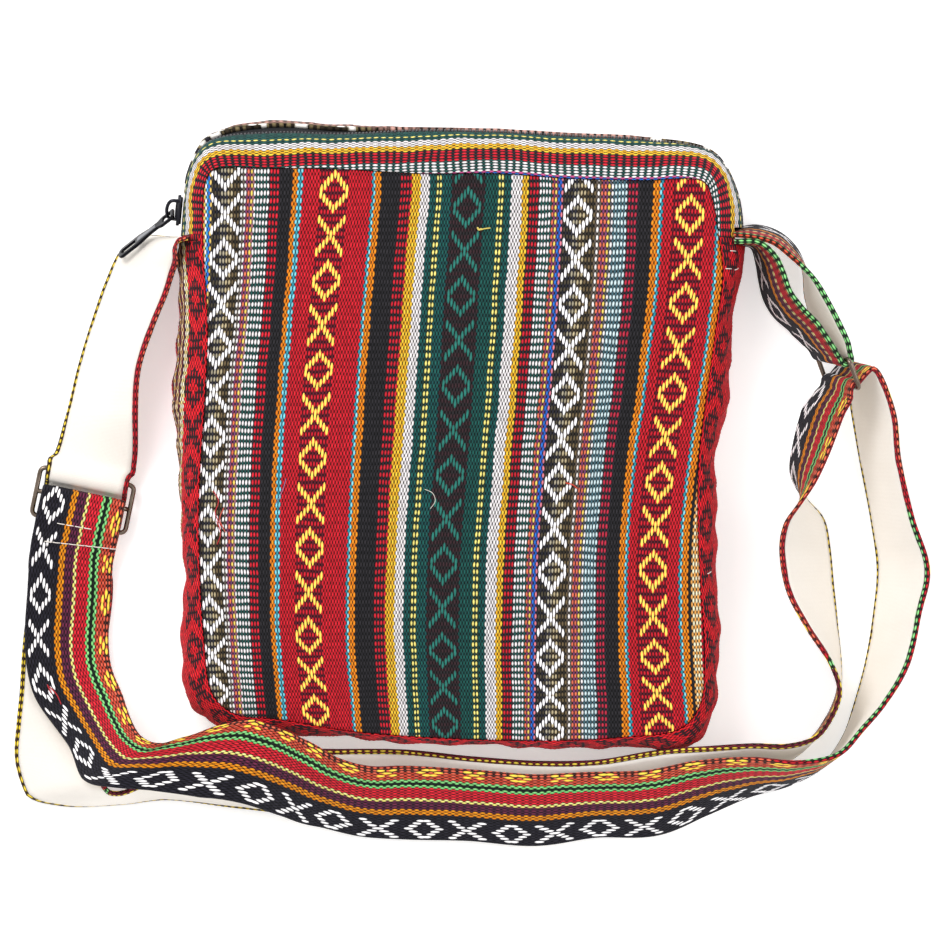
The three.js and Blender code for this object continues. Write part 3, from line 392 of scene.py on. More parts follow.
def woven_hemp(name, stripes, figures=(), wander=0.00035):
    """Warp-faced hemp and cotton cloth, which looks matt, deep in colour and full of relief: plump
    soft threads hide the weft, each shows as a short stitch at every second pick, and in the figures
    pairs of threads float over several picks. The colour carries painted shade and a painted
    highlight: each stitch is darker towards its edges and in the gaps between stitches, and lighter
    on its crown, with a random tone per stitch."""
    material, tree = bare_material(name)
    cloth = add(tree, "ShaderNodeUVMap", uv_map="cloth")
    places = add(tree, "ShaderNodeSeparateXYZ", {0: cloth.outputs[0]})
    spread = add(tree, "ShaderNodeNewGeometry")
    drift = add(tree, "ShaderNodeTexNoise", {"Vector": spread.outputs["Position"], "Scale": WANDER_SCALE,
                                             "Detail": 3.0, "Roughness": 0.6})
    shake = add(tree, "ShaderNodeSeparateColor", {0: drift.outputs["Color"]})
    moved = add(tree, "ShaderNodeAttribute", attribute_name="stripe_drift")
    known = {"x": places.outputs[0], "y": places.outputs[1], "stripe drift": moved.outputs["Fac"],
             "nx": shake.outputs[0], "ny": shake.outputs[1]}
    work_out(tree, known, [
        ("nx0", "SUBTRACT", "nx", 0.5),
        ("ny0", "SUBTRACT", "ny", 0.5),
        ("xs", "MULTIPLY_ADD", "nx0", 4 * wander, "x"),
        ("ys", "MULTIPLY_ADD", "ny0", 8 * wander, "y"),
        ("thread", "DIVIDE", "xs", THREAD_PITCH),
        ("pick", "DIVIDE", "ys", PICK_PITCH),
        ("pick angle", "MULTIPLY", "pick", 2 * math.pi),
        ("pick wave", "SINE", "pick angle"),
        ("row", "MULTIPLY_ADD", "pick wave", -STITCH_SQUARE, "pick"),
        ("sum", "ADD", "thread", "row"),
        ("difference", "SUBTRACT", "thread", "row"),
        ("half sum", "MULTIPLY", "sum", 0.5),
        ("half difference", "MULTIPLY", "difference", 0.5),
        ("a", "ROUND", "half sum"),
        ("c", "ROUND", "half difference"),
        ("thread number", "ADD", "a", "c"),
        ("pick number", "SUBTRACT", "a", "c"),
        ("off thread", "SUBTRACT", "thread", "thread number"),
        ("off pick", "SUBTRACT", "pick", "pick number"),
        ("u", "DIVIDE", "off thread", STITCH_SPREAD),
        ("v", "DIVIDE", "off pick", STITCH_SPREAD),
        ("uu", "MULTIPLY", "u", "u"),
        ("vv", "MULTIPLY", "v", "v"),
        ("far", "ADD", "uu", "vv"),
        ("round", "SUBTRACT", 1.0, "far"),
        ("plump", "MAXIMUM", "round", 0.0),
        ("ground high", "POWER", "plump", 0.5),
        ("odd", "MODULO", "thread number", 2.0),
        ("odd side", "ABSOLUTE", "odd"),
        ("true place", "MULTIPLY", "thread number", THREAD_PITCH * 1000),
        ("place", "SUBTRACT", "true place", "stripe drift"),
        ("pair", "MULTIPLY", "thread", 0.5),
        ("column", "ROUND", "pair"),
        ("off column", "SUBTRACT", "pair", "column"),
        ("fu", "DIVIDE", "off column", FLOAT_WIDE),
        ("fuu", "MULTIPLY", "fu", "fu"),
    ])
    even = colour_bands(tree, stripes, known["place"], 1)
    odd = colour_bands(tree, stripes, known["place"], 2)
    ground = add(tree, "ShaderNodeMix", {0: known["odd side"], 6: even, 7: odd}, data_type="RGBA")
    colour, high = ground.outputs[2], known["ground high"]
    for middle, phase, figure_colour, figure_columns, slope in figures:
        work_out(tree, known, [
            ("k", "SUBTRACT", "column", round(middle / 2000 / THREAD_PITCH)),
            ("k size", "ABSOLUTE", "k"),
            ("inside", "LESS_THAN", "k size", figure_columns + 0.5),
            ("m", "SUBTRACT", "pick", phase / 1000 / PICK_PITCH),
            ("m wrapped", "WRAP", "m", FIGURE_PICKS / 2, -FIGURE_PICKS / 2),
            ("m size", "ABSOLUTE", "m wrapped"),
            ("ring row", "MULTIPLY_ADD", "k size", -slope, slope * (figure_columns + 0.6)),
            ("ring off", "SUBTRACT", "m size", "ring row"),
            ("ring far", "ABSOLUTE", "ring off"),
            ("from cross", "SUBTRACT", FIGURE_PICKS / 2, "m size"),
            ("cross row", "MULTIPLY_ADD", "k size", 1.06 * slope, 0.25),
            ("cross off", "SUBTRACT", "from cross", "cross row"),
            ("cross far", "ABSOLUTE", "cross off"),
            ("float far", "MINIMUM", "ring far", "cross far"),
            ("fv", "DIVIDE", "float far", FLOAT_LONG),
            ("fvv", "MULTIPLY", "fv", "fv"),
            ("float off", "ADD", "fuu", "fvv"),
            ("float round", "SUBTRACT", 1.0, "float off"),
            ("float plump", "MAXIMUM", "float round", 0.0),
            ("float high", "POWER", "float plump", 0.5),
            ("is float", "GREATER_THAN", "float round", 0.0),
            ("figure", "MULTIPLY", "is float", "inside"),
            ("figure high", "MULTIPLY_ADD", "float high", 0.9, 0.35),
            ("lifted", "MULTIPLY", "figure high", "figure"),
        ])
        mix = add(tree, "ShaderNodeMix", {0: known["figure"], 6: colour, 7: linear(figure_colour)},
                  data_type="RGBA")
        colour = mix.outputs[2]
        high = work_out(tree, {"high": high, "lifted": known["lifted"]},
                        [("top", "MAXIMUM", "high", "lifted")])["top"]
    cell = add(tree, "ShaderNodeCombineXYZ", {0: known["thread number"], 1: known["pick number"]})
    chance = add(tree, "ShaderNodeTexWhiteNoise", {0: cell.outputs[0]}, noise_dimensions="2D")
    fibre = add(tree, "ShaderNodeTexNoise", {
        "Vector": cloth.outputs[0], "Scale": FIBRE_SCALE, "Detail": 2.0})
    known.update(high=high, chance=chance.outputs[0], fibre=fibre.outputs[0])
    # Painted shade and highlight: the colour is multiplied by the thread height, so it is dark in the gaps
    # between stitches and light on their crowns. It is also multiplied by a random tone per stitch.
    work_out(tree, known, [
        ("deep", "MULTIPLY_ADD", "high", 1.05, 0.05),
        ("varied", "MULTIPLY_ADD", "chance", 0.30, 0.86),
        ("lit", "MULTIPLY", "deep", "varied"),
        ("fuzz", "MULTIPLY_ADD", "fibre", 0.35, -0.17),
        ("bump", "ADD", "high", "fuzz"),
    ])
    tone = add(tree, "ShaderNodeCombineColor", {0: known["lit"], 1: known["lit"], 2: known["lit"]})
    shade = add(tree, "ShaderNodeMix", {0: 1.0, 6: colour, 7: tone.outputs[0]}, data_type="RGBA",
                blend_type="MULTIPLY")
    bump = add(tree, "ShaderNodeBump", {"Height": known["bump"], "Distance": 0.0004, "Strength": 0.8})
    surface = add(tree, "ShaderNodeBsdfPrincipled", {
        "Base Color": shade.outputs[2], "Roughness": 0.82, "Normal": bump.outputs[0],
        "Sheen Weight": 0.04, "Sheen Roughness": 0.6, "Specular IOR Level": 0.15,
    })
    add(tree, "ShaderNodeOutputMaterial", {0: surface.outputs[0]})
    return material


def panel_cloth(points):
    """Cloth coordinates of panel points: the stripes run as STRIPE_RUN says."""
    x, y = points[..., 0].ravel() * 1000, points[..., 1].ravel() * 1000
    share = (STRIPE_RUN[0, 0] - y) / (STRIPE_RUN[0, 0] - STRIPE_RUN[-1, 0])
    runs = smooth_curve(STRIPE_RUN[:, 1:], np.clip(share, 0, 1))
    above, below = y - STRIPE_RUN[0, 0], 1.2 * (y - STRIPE_RUN[-1, 0])
    along = runs[:, 5] + np.where(share < 0, above, np.where(share > 1, below, 0))
    places = np.array(STRIPE_PLACES)
    across = np.empty(len(x))
    for n, run in enumerate(runs[:, :5]):
        if x[n] <= run[0]:
            across[n] = places[0] + x[n] - run[0]
        elif x[n] >= run[4]:
            across[n] = places[4] + x[n] - run[4]
        else:
            across[n] = np.interp(x[n], run, places)
    return across.reshape(points.shape[:-1]) / 1000, along.reshape(points.shape[:-1]) / 1000


ring_turns = np.linspace(0, len(SIDES), PANEL_STATIONS, endpoint=False)
ring_shares = np.concatenate([
    1 - SEAM_GAP * 2 / PANEL_WIDTH - np.array([0, 0.0025, 0.006, 0.011, 0.018]),
    np.linspace(0.965, 0.0, PANEL_RINGS),
])
seam = side_points(ring_turns, 0.0)
mean_seam = seam[:, 2].mean()
shares = ring_shares[None, :, None]
panel_top = np.concatenate([
    seam[:, None, :2] * shares,
    mean_seam + (seam[:, None, 2:] - mean_seam) * shares,
], axis=-1)
edge = 1 - ring_shares[None, :] + 0 * panel_top[..., 2]
rise = PANEL_RISE * (1 - ring_shares[None, :] ** 2)
for fold_x, fold_y, wide, tall, high in PANEL_FOLDS:
    rise = rise + high / 1000 * np.exp(-((panel_top[..., 0] / PANEL_WIDTH - fold_x) / wide) ** 2
                                       - ((panel_top[..., 1] / PANEL_HEIGHT - fold_y) / tall) ** 2)
seam_mm = np.linalg.norm(np.roll(seam, -1, axis=0) - seam, axis=1).cumsum() * 1000
puckers = np.sin(seam_mm / 2.1 + 2.2 * np.sin(seam_mm / 17)) + 0.7 * np.sin(seam_mm / 4.7 + 1)
panel_top[..., 2] += rise * np.minimum(1, edge * 6)
panel_top[..., 2] += PUCKER_HIGH * puckers[:, None] * np.exp(-edge / 0.05) * np.minimum(1, edge * 60)
panel_top[..., 2] -= SEAM_DIP * np.exp(-edge / 0.012)
panel_under = panel_top - np.array([0, 0, CLOTH_THICK])
across, along = panel_cloth(panel_top)
front_panel = cloth_mesh("front_panel_cloth", panel_top, panel_under, across, along, closed=True)
front_panel.data.materials.append(woven_hemp("panel_hemp", PANEL_STRIPES, PANEL_FIGURES))
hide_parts("front_panel")
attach(front_panel, "bag")

# Back panel: a second piece of the same cloth, which the bag lies on. It is flat on the table and
# sewn to the side cloth all round.
back_seam = side_points(ring_turns, float(LAST_ROW))
back_shares = np.concatenate([ring_shares[:5], np.linspace(0.965, 0.0, 30)])
back_under = back_seam[:, None, :] * back_shares[None, :, None]
back_under[..., 2] = 0.0
back_top = back_under + np.array([0, 0, CLOTH_THICK])
across, along = panel_cloth(back_under * np.array([-1, 1, 1]))
back_panel = cloth_mesh("back_panel_cloth", back_under, back_top, across, along, closed=True)
back_panel.data.materials.append(front_panel.data.materials[0])
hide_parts("back_panel")
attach(back_panel, "bag")

# Side gusset: one long strip of red hemp cloth with fine black figures, sewn between the panels down
# the right side, along the bottom and up the left side. It bulges softly and puckers at its seams.
STRAP_THICK = 0.0023
LAYER_GAP = 0.0003
LEFT_SLOT = 0.00145
RIGHT_SLOT = 0.0041
RIGHT_SLOT_ROW = 12
GUSSET_STRIPES = [
    (-10.0, "f0222f", "dc1a28"),
    (9.8, "f2e9cf", "e9cf86"),
    (12.6, "6d2740", "471d30"),
    (14.0, "e9cfa4", "c99a6a"),
    (16.1, "7a3140", "3f2226"),
    (18.2, "efe2c4", "d9a25a"),
    (20.3, "6d2740", "471d30"),
    (22.4, "f0222f", "dc1a28"),
]
# How far down the side the stripes have run, in millimetres, at places round the bag
GUSSET_DRIFT = [(12, 14), (29, 14), (30.5, 6), (32, 0.5), (35, 0)]
NO_DRIFT = ((0, 0), (40, 0))
GUSSET_SPANS = 28


def round_mm(turn, down):
    """Millimetres of the way round the bag to one row of SIDES."""
    return np.linalg.norm(side_points(turn + 0.05, down) - side_points(turn - 0.05, down)) * 10


def soft_waves(place, seed, longest):
    """A smooth uneven curve of places in millimetres, between about -1 and 1."""
    chance = np.random.default_rng(seed)
    total = 0.0
    for n in range(5):
        wave = longest / (1 + n * 0.9)
        total = total + np.sin(2 * np.pi * (place / wave + chance.random())) / (1 + n * 0.7)
    return total / 2.2


def lengths_along(points):
    """How far each point is from the first one along the line through them."""
    return np.concatenate([[0.0], np.linalg.norm(np.diff(points, axis=0), axis=1).cumsum()])


def side_cloth(name, turns, ends, spans, depths, puff=0.0, seed=1, drift=NO_DRIFT):
    """A wall on the bag's side between two lines, each given by a section row and millimetres. drift
    says how many millimetres of the cloth are hidden in its seam at places round the bag."""
    downs = []
    for row, offset in ends:
        low, high = max(row - 0.05, 0), min(row + 0.05, LAST_ROW)
        step = np.linalg.norm(side_points(turns, high) - side_points(turns, low), axis=-1) / (high - low)
        downs.append(row + offset / 1000 / step)
    share = np.linspace(0, 1, spans + 1)
    downs = downs[0][:, None] * (1 - share) + downs[1][:, None] * share
    turns = turns[:, None] + 0 * downs
    points, outward = side_points(turns, downs), side_outward(turns, downs)
    across = np.linalg.norm(np.diff(points, axis=1), axis=-1).cumsum(axis=1)
    across = np.concatenate([0 * across[:, :1], across], axis=1)
    start = side_points(turns, 0 * downs)
    fine = side_points(turns[:, :1], np.linspace(0, 1, 12) * downs[:, :1])
    across = across + np.linalg.norm(np.diff(fine, axis=1), axis=-1).sum(axis=1)[:, None]
    across = across + np.interp(turns[:, :1], *np.transpose(drift)) / 1000
    along = lengths_along(points[:, spans // 2])[:, None] + 0 * across
    swell = np.sin(np.pi * share) ** 0.7
    waves = soft_waves(along * 1000, seed, 62.0)
    waves = waves + 0.6 * soft_waves(along * 1000 + across * 900, seed + 1, 17.0)
    lift = puff * swell * waves
    seam_pucker = 0.00025 * np.sin(along * 1000 / 2.3 + 2 * np.sin(along * 1000 / 19))
    lift = lift + (seam_pucker * np.sin(np.pi * share) * np.exp(-share * 5) if puff else 0)
    outer = points + outward * (lift - depths[0])[..., None]
    inner = points + outward * (lift - depths[1])[..., None]
    return cloth_mesh(name, outer, inner, across, along)


left_mm, right_mm = round_mm(0.0, float(ZIP_ROW)), round_mm(float(RIGHT_SLOT_ROW), float(ZIP_ROW))
band_turns = np.linspace(LEFT_SLOT / left_mm, RIGHT_SLOT_ROW - RIGHT_SLOT / right_mm, 220)
gusset_turns = np.linspace(RIGHT_SLOT_ROW + RIGHT_SLOT / right_mm, len(SIDES) - LEFT_SLOT / left_mm, 420)
gusset = side_cloth("side_gusset_cloth", gusset_turns, ((0, 0), (LAST_ROW, 0)), GUSSET_SPANS,
                    (0.0, CLOTH_THICK), puff=0.0011)
gusset.data.materials.append(woven_hemp("gusset_hemp", GUSSET_STRIPES, [
    (5.6, 4.0, "26171d", 3, 1.1),
    (5.6, 6.6, "26171d", 3, 1.1),
]))
gusset_drift = np.repeat(np.interp(gusset_turns, *np.transpose(GUSSET_DRIFT)), GUSSET_SPANS + 1)
layer = gusset.data.attributes.new("stripe_drift", "FLOAT", "POINT")
layer.data.foreach_set("value", np.tile(gusset_drift, 2))
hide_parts("side_gusset")
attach(gusset, "bag")

# Zip bands: two strips cut from the striped cloth, whose stripes follow the curved zip. The front
# band shows whole, and the back band turns down to the table behind the zip.
BAND_EDGE_MM = 5.0
FRONT_BAND_STRIPES = [
    (-4.0, "2f6fd0", "45a6e0"),
    (0.0, "efd86e", "c4508c"),
    (1.0, "eee9ea", "1c4a46"),
    (6.3, "d62536", "26242a"),
    (11.9, "f4c83c", "e6ac28"),
    (14.7, "eee9e8", "e4dee0"),
    (18.2, "1b5650", "174845"),
    (20.3, "efe27e", "1b5650"),
    (21.7, "1b5650", "174845"),
    (32.8, "2b292d", "201f23"),
]
# How many millimetres of the front band are hidden in its seam, at places round the bag
BAND_DRIFT = [(0, 6.8), (4, 6.2), (5, 4.6), (6, 1.2), (7, 0), (9.5, 0), (10.5, 2.0), (12, 5.6)]
BACK_BAND_STRIPES = [
    (-4.0, "2b292d", "201f23"),
    (24.5, "9a8c6c", "2b2a33"),
    (29.0, "8a7a58", "3a3024"),
    (32.2, "d9a79a", "8a6a60"),
    (35.0, "eee9ea", "1c4a46"),
    (41.0, "d62536", "26242a"),
    (47.0, "2b292d", "201f23"),
]
front_band = side_cloth("zip_band_front_cloth", band_turns, ((0, 0), (ZIP_ROW, -BAND_EDGE_MM)), 20,
                        (0.0, CLOTH_THICK), puff=0.0005, seed=5, drift=BAND_DRIFT)
front_band.data.materials.append(woven_hemp("front_band_hemp", FRONT_BAND_STRIPES))
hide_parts("zip_band_front")
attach(front_band, "bag")
back_band = side_cloth("zip_band_back_cloth", band_turns, ((ZIP_ROW, BAND_EDGE_MM), (LAST_ROW, 0)), 20,
                       (0.0, CLOTH_THICK), puff=0.0005, seed=8)
back_band.data.materials.append(woven_hemp("back_band_hemp", BACK_BAND_STRIPES, [
    (27.0, 0.0, "f4efe8", 2, 1.1),
    (30.8, 9.0, "f4efe8", 1, 1.1),
]))
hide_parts("zip_band_back")
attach(back_band, "bag")

# Turned ends: the cloth ends of the gusset and of the front band are folded in where the strap and
# the tab are sewn between them, and close the seam above these down to the strap's edge.
END_REACH = 2.0
END_DEPTHS = (0.0001, 0.0018)
SEAM_ENDS = [
    # first and last place round the bag, what cloth, how much of it its seam hides, name
    (gusset_turns[-1] - 0.02, len(SIDES) + band_turns[0] + 0.02, gusset, NO_DRIFT, "gusset_end_left"),
    (12.0, gusset_turns[0] + 0.02, gusset, NO_DRIFT, "gusset_end_right"),
    (band_turns[-1] - 0.02, 12.02, front_band, BAND_DRIFT, "band_end_right"),
]
for first, last, cloth, hidden, name in SEAM_ENDS:
    end = side_cloth(name, np.linspace(first, last, 10), ((0, 0), (END_REACH, 0)), 10, END_DEPTHS,
                     drift=hidden)
    end.data.materials.append(cloth.data.materials[0])
    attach(end, "bag")

# Zip tapes: the black woven polyester tapes that carry the coils, sewn under the edges of the bands
# so that only a narrow line of each shows beside the coils.
TEETH_WIDTH_MM = 4.0
TAPE_WIDTH_MM = 9.0
TAPE_START_MM = TEETH_WIDTH_MM / 2 + 0.3
TAPE_THICK = 0.0008
TAPE_DEPTH = CLOTH_THICK + SEAM_GAP
TAPE_THREAD = 0.0006


def plain_tape(name, light, dark, pitch, roughness, bump_high):
    """Plain-woven tape or thread: a flat matt face with a fine square weave, which is drawn coarser
    than the real threads so that it shows, and clouds of lighter and darker tone about 20 mm across.
    The weave is painted into the colour as light and shade: lighter on its raised crossings, darker
    between them."""
    material, tree = bare_material(name)
    cloth = add(tree, "ShaderNodeUVMap", uv_map="cloth")
    places = add(tree, "ShaderNodeSeparateXYZ", {0: cloth.outputs[0]})
    cloud = add(tree, "ShaderNodeTexNoise", {"Vector": cloth.outputs[0], "Scale": 45.0, "Detail": 4.0})
    slub = add(tree, "ShaderNodeTexNoise", {"Vector": cloth.outputs[0], "Scale": 900.0, "Detail": 2.0})
    # Painted light and shade: the weave's raised crossings are drawn lighter and its hollows darker, mixed
    # with random slubs and clouds of tone.
    known = work_out(tree, {"x": places.outputs[0], "y": places.outputs[1], "cloud": cloud.outputs[0],
                            "slub": slub.outputs[0]}, [
        ("turn x", "MULTIPLY", "x", math.pi / pitch),
        ("turn y", "MULTIPLY", "y", math.pi / pitch),
        ("wave x", "SINE", "turn x"),
        ("wave y", "SINE", "turn y"),
        ("crossing", "MULTIPLY", "wave x", "wave y"),
        ("raised", "ABSOLUTE", "crossing"),
        ("uneven", "MULTIPLY_ADD", "slub", 0.5, "raised"),
        ("shade from weave", "MULTIPLY_ADD", "uneven", 0.5, -0.1),
        ("shade", "MULTIPLY_ADD", "cloud", 0.5, "shade from weave"),
    ])
    tone = add(tree, "ShaderNodeMix", {0: known["shade"], 6: linear(dark), 7: linear(light)},
               data_type="RGBA")
    bump = add(tree, "ShaderNodeBump", {"Height": known["uneven"], "Distance": bump_high, "Strength": 0.6})
    surface = add(tree, "ShaderNodeBsdfPrincipled", {
        "Base Color": tone.outputs[2], "Roughness": roughness, "Normal": bump.outputs[0],
        "Sheen Weight": 0.1, "Specular IOR Level": 0.3,
    })
    add(tree, "ShaderNodeOutputMaterial", {0: surface.outputs[0]})
    return material


tape_polyester = plain_tape("zip_tape_polyester", "2b2b30", "111114", TAPE_THREAD, 0.75, 0.0001)
for side, near, far in (("front", -TAPE_START_MM - TAPE_WIDTH_MM, -TAPE_START_MM),
                        ("back", TAPE_START_MM, TAPE_START_MM + TAPE_WIDTH_MM)):
    tape = side_cloth(f"zip_tape_{side}_woven", band_turns, ((ZIP_ROW, near), (ZIP_ROW, far)), 6,
                      (TAPE_DEPTH, TAPE_DEPTH + TAPE_THICK))
    tape.data.materials.append(tape_polyester)
    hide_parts(f"zip_tape_{side}")
    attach(tape, "bag")

# Zip coils: two black nylon coils locked together, wound from monofilament and sewn to the tapes.
# Each turn shows as a short bent rib, and the two sides meet along the middle.
COIL_PITCH = 0.0016
COIL_RIB = 0.0011
COIL_DEPTH = 0.0011
COIL_SHIFT = 0.00072
RIB_HALF = 0.0011
RIB_BEND = 0.00045


def plain_mesh(source, name):
    """A plain mesh object of what an object's modifiers make."""
    seen = source.evaluated_get(bpy.context.evaluated_depsgraph_get())
    mesh = bpy.data.meshes.new_from_object(seen)
    mesh.name = name
    piece = bpy.data.objects.new(name, mesh)
    bpy.context.scene.collection.objects.link(piece)
    bpy.data.objects.remove(source)
    return piece


def placed_copies(name, points, ahead, up, shape, material):
    """Copies of a small shape at points, its X turned ahead and its Z up, as one plain mesh."""
    mesh = bpy.data.meshes.new(name)
    mesh.from_pydata(np.asarray(points).tolist(), [], [])
    for label, values in (("ahead", ahead), ("up", up)):
        layer = mesh.attributes.new(label, "FLOAT_VECTOR", "POINT")
        layer.data.foreach_set("vector", np.asarray(values, float).ravel())
    source = bpy.data.objects.new(name, mesh)
    bpy.context.scene.collection.objects.link(source)
    tree = bpy.data.node_groups.new("copies_along_a_path", "GeometryNodeTree")
    tree.interface.new_socket("Geometry", in_out="OUTPUT", socket_type="NodeSocketGeometry")
    sockets = {}
    for label, kind in (("Geometry", "NodeSocketGeometry"), ("Shape", "NodeSocketObject"),
                        ("Size", "NodeSocketFloat"), ("Finish", "NodeSocketMaterial")):
        sockets[label] = tree.interface.new_socket(label, in_out="INPUT", socket_type=kind)
    given = add(tree, "NodeGroupInput")
    heading = add(tree, "GeometryNodeInputNamedAttribute", {"Name": "ahead"}, data_type="FLOAT_VECTOR")
    rising = add(tree, "GeometryNodeInputNamedAttribute", {"Name": "up"}, data_type="FLOAT_VECTOR")
    turned = add(tree, "FunctionNodeAlignRotationToVector", {"Vector": heading.outputs[0]}, axis="X")
    rolled = add(tree, "FunctionNodeAlignRotationToVector", {
        "Rotation": turned.outputs[0], "Vector": rising.outputs[0]}, axis="Z", pivot_axis="X")
    form = add(tree, "GeometryNodeObjectInfo", {"Object": given.outputs["Shape"]})
    copies = add(tree, "GeometryNodeInstanceOnPoints", {
        "Points": given.outputs["Geometry"], "Instance": form.outputs["Geometry"],
        "Rotation": rolled.outputs[0], "Scale": given.outputs["Size"]})
    real = add(tree, "GeometryNodeRealizeInstances", {0: copies.outputs[0]})
    dressed = add(tree, "GeometryNodeSetMaterial", {
        "Geometry": real.outputs[0], "Material": given.outputs["Finish"]})
    add(tree, "NodeGroupOutput", {0: dressed.outputs[0]})
    modifier = source.modifiers.new("copies", "NODES")
    modifier.node_group = tree
    for label, value in (("Shape", shape), ("Size", 1.0), ("Finish", material)):
        modifier[sockets[label].identifier] = value
    piece = plain_mesh(source, name)
    bpy.data.objects.remove(shape)
    piece.data.shade_smooth()
    return piece


def tube_mesh(name, paths, radii, sides=10, closed=False):
    """Round wires or threads along paths, closed at their ends, as one mesh object."""
    points, faces = [], []
    for path, radius in zip(paths, radii):
        path = np.asarray(path, float)
        count = len(path)
        if closed:
            ahead = np.roll(path, -1, axis=0) - np.roll(path, 1, axis=0)
        else:
            ahead = np.gradient(path, axis=0)
        ahead /= np.linalg.norm(ahead, axis=1, keepdims=True)
        side = np.cross(ahead[0], (0.31, 0.17, 0.93))
        side /= np.linalg.norm(side)
        rings = []
        for n in range(count):
            side = side - ahead[n] * side.dot(ahead[n])
            side /= np.linalg.norm(side)
            turn = np.linspace(0, 2 * np.pi, sides, endpoint=False)[:, None]
            rings.append(path[n] + radius * (np.cos(turn) * side + np.sin(turn) * np.cross(ahead[n], side)))
        base = len(points)
        if closed:
            shift = np.linalg.norm(rings[-1][0] - rings[0], axis=1).argmin()
        points.extend(np.concatenate(rings).tolist())
        for n in range(count if closed else count - 1):
            after = (n + 1) % count
            twist = shift if closed and after == 0 else 0
            for k in range(sides):
                a, b = base + n * sides + k, base + n * sides + (k + 1) % sides
                c = base + after * sides + (k + 1 + twist) % sides
                d = base + after * sides + (k + twist) % sides
                faces.append((a, b, c, d))
        if not closed:
            faces.append(tuple(base + k for k in reversed(range(sides))))
            faces.append(tuple(base + (count - 1) * sides + k for k in range(sides)))
    mesh = bpy.data.meshes.new(name)
    mesh.from_pydata(points, [], faces)
    mesh.shade_smooth()
    piece = bpy.data.objects.new(name, mesh)
    bpy.context.scene.collection.objects.link(piece)
    return piece


def moulded_nylon(name, colour, roughness):
    """Moulded nylon: even dark colour and a soft gloss with faint scuffs, about a millimetre long."""
    material, tree = bare_material(name)
    place = add(tree, "ShaderNodeTexCoord")
    scuff = add(tree, "ShaderNodeTexNoise", {
        "Vector": place.outputs["Object"], "Scale": 900.0, "Detail": 3.0})
    rough = work_out(tree, {"scuff": scuff.outputs[0]},
                     [("rough", "MULTIPLY_ADD", "scuff", 0.3, roughness)])
    tone = add(tree, "ShaderNodeMix", {0: scuff.outputs[0], 6: linear(colour), 7: linear("3a3a40")},
               data_type="RGBA")
    bump = add(tree, "ShaderNodeBump", {"Height": scuff.outputs[0], "Distance": 0.00005, "Strength": 0.3})
    surface = add(tree, "ShaderNodeBsdfPrincipled", {
        "Base Color": tone.outputs[2], "Roughness": rough["rough"], "Normal": bump.outputs[0]})
    add(tree, "ShaderNodeOutputMaterial", {0: surface.outputs[0]})
    return material


coil_path = side_points(band_turns, float(ZIP_ROW))
coil_far = lengths_along(coil_path)
rib_count = int(coil_far[-1] / COIL_PITCH)
rib_far = (np.arange(rib_count) + 0.5) * coil_far[-1] / rib_count
rib_turns = np.interp(rib_far, coil_far, band_turns)
rib_points, rib_ahead, rib_up = [], [], []
for side, shift in ((-1, 0.0), (1, 0.5)):
    turns = rib_turns + shift * (rib_turns[1] - rib_turns[0])
    turns = np.clip(turns, band_turns[0], band_turns[-1])
    centre = side_points(turns, float(ZIP_ROW))
    out = side_outward(turns, np.full(len(turns), float(ZIP_ROW)))
    round_way = side_points(turns + 0.02, float(ZIP_ROW)) - side_points(turns - 0.02, float(ZIP_ROW))
    round_way /= np.linalg.norm(round_way, axis=1, keepdims=True)
    down_way = np.cross(out, round_way) * side
    rib_points.append(centre - out * (SEAM_GAP + COIL_DEPTH) + down_way * COIL_SHIFT)
    rib_ahead.append(down_way)
    rib_up.append(out)
bend = np.linspace(-1, 1, 7)
rib_path = np.column_stack([bend * RIB_HALF, 0 * bend, RIB_BEND * (1 - bend ** 2)])
rib = tube_mesh("coil_rib", [rib_path], [COIL_RIB / 2], sides=6)
coil_nylon = moulded_nylon("coil_nylon", "121215", 0.32)
coils = placed_copies("zip_coils", np.concatenate(rib_points), np.concatenate(rib_ahead),
                      np.concatenate(rib_up), rib, coil_nylon)
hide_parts("zip_teeth")
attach(coils, "bag")

# Zip slider: die-cast and black enamelled, a plate with turned-down sides over the coils and a wire
# arch for the pull. It stands at the left end of the zip.
SLIDER_LENGTH = 0.014
SLIDER_WIDTH = 0.009
SLIDER_THICK = 0.0022
SIDE_ROUND = 0.0009
BAIL_WIRE = 0.0016
BAIL_LENGTH = 0.010
BAIL_RISE = 0.0046
# Where it stands, in rows of SIDES from the left end of the zip
SLIDER_TURN = 0.78


def rounded_line(corners, steps=6):
    """A closed outline: each corner is x, y and its rounding radius."""
    corners = np.asarray(corners, float)
    points = []
    for n, (x, y, radius) in enumerate(corners):
        here = np.array([x, y])
        to_last = corners[n - 1, :2] - here
        to_next = corners[(n + 1) % len(corners), :2] - here
        to_last, to_next = to_last / np.linalg.norm(to_last), to_next / np.linalg.norm(to_next)
        half = math.acos(np.clip(to_last.dot(to_next), -1, 1)) / 2
        reach = radius / math.tan(half)
        start, end = here + to_last * reach, here + to_next * reach
        for share in np.linspace(0, 1, steps + 1):
            points.append((1 - share) ** 2 * start + 2 * share * (1 - share) * here + share ** 2 * end)
    return np.array(points)


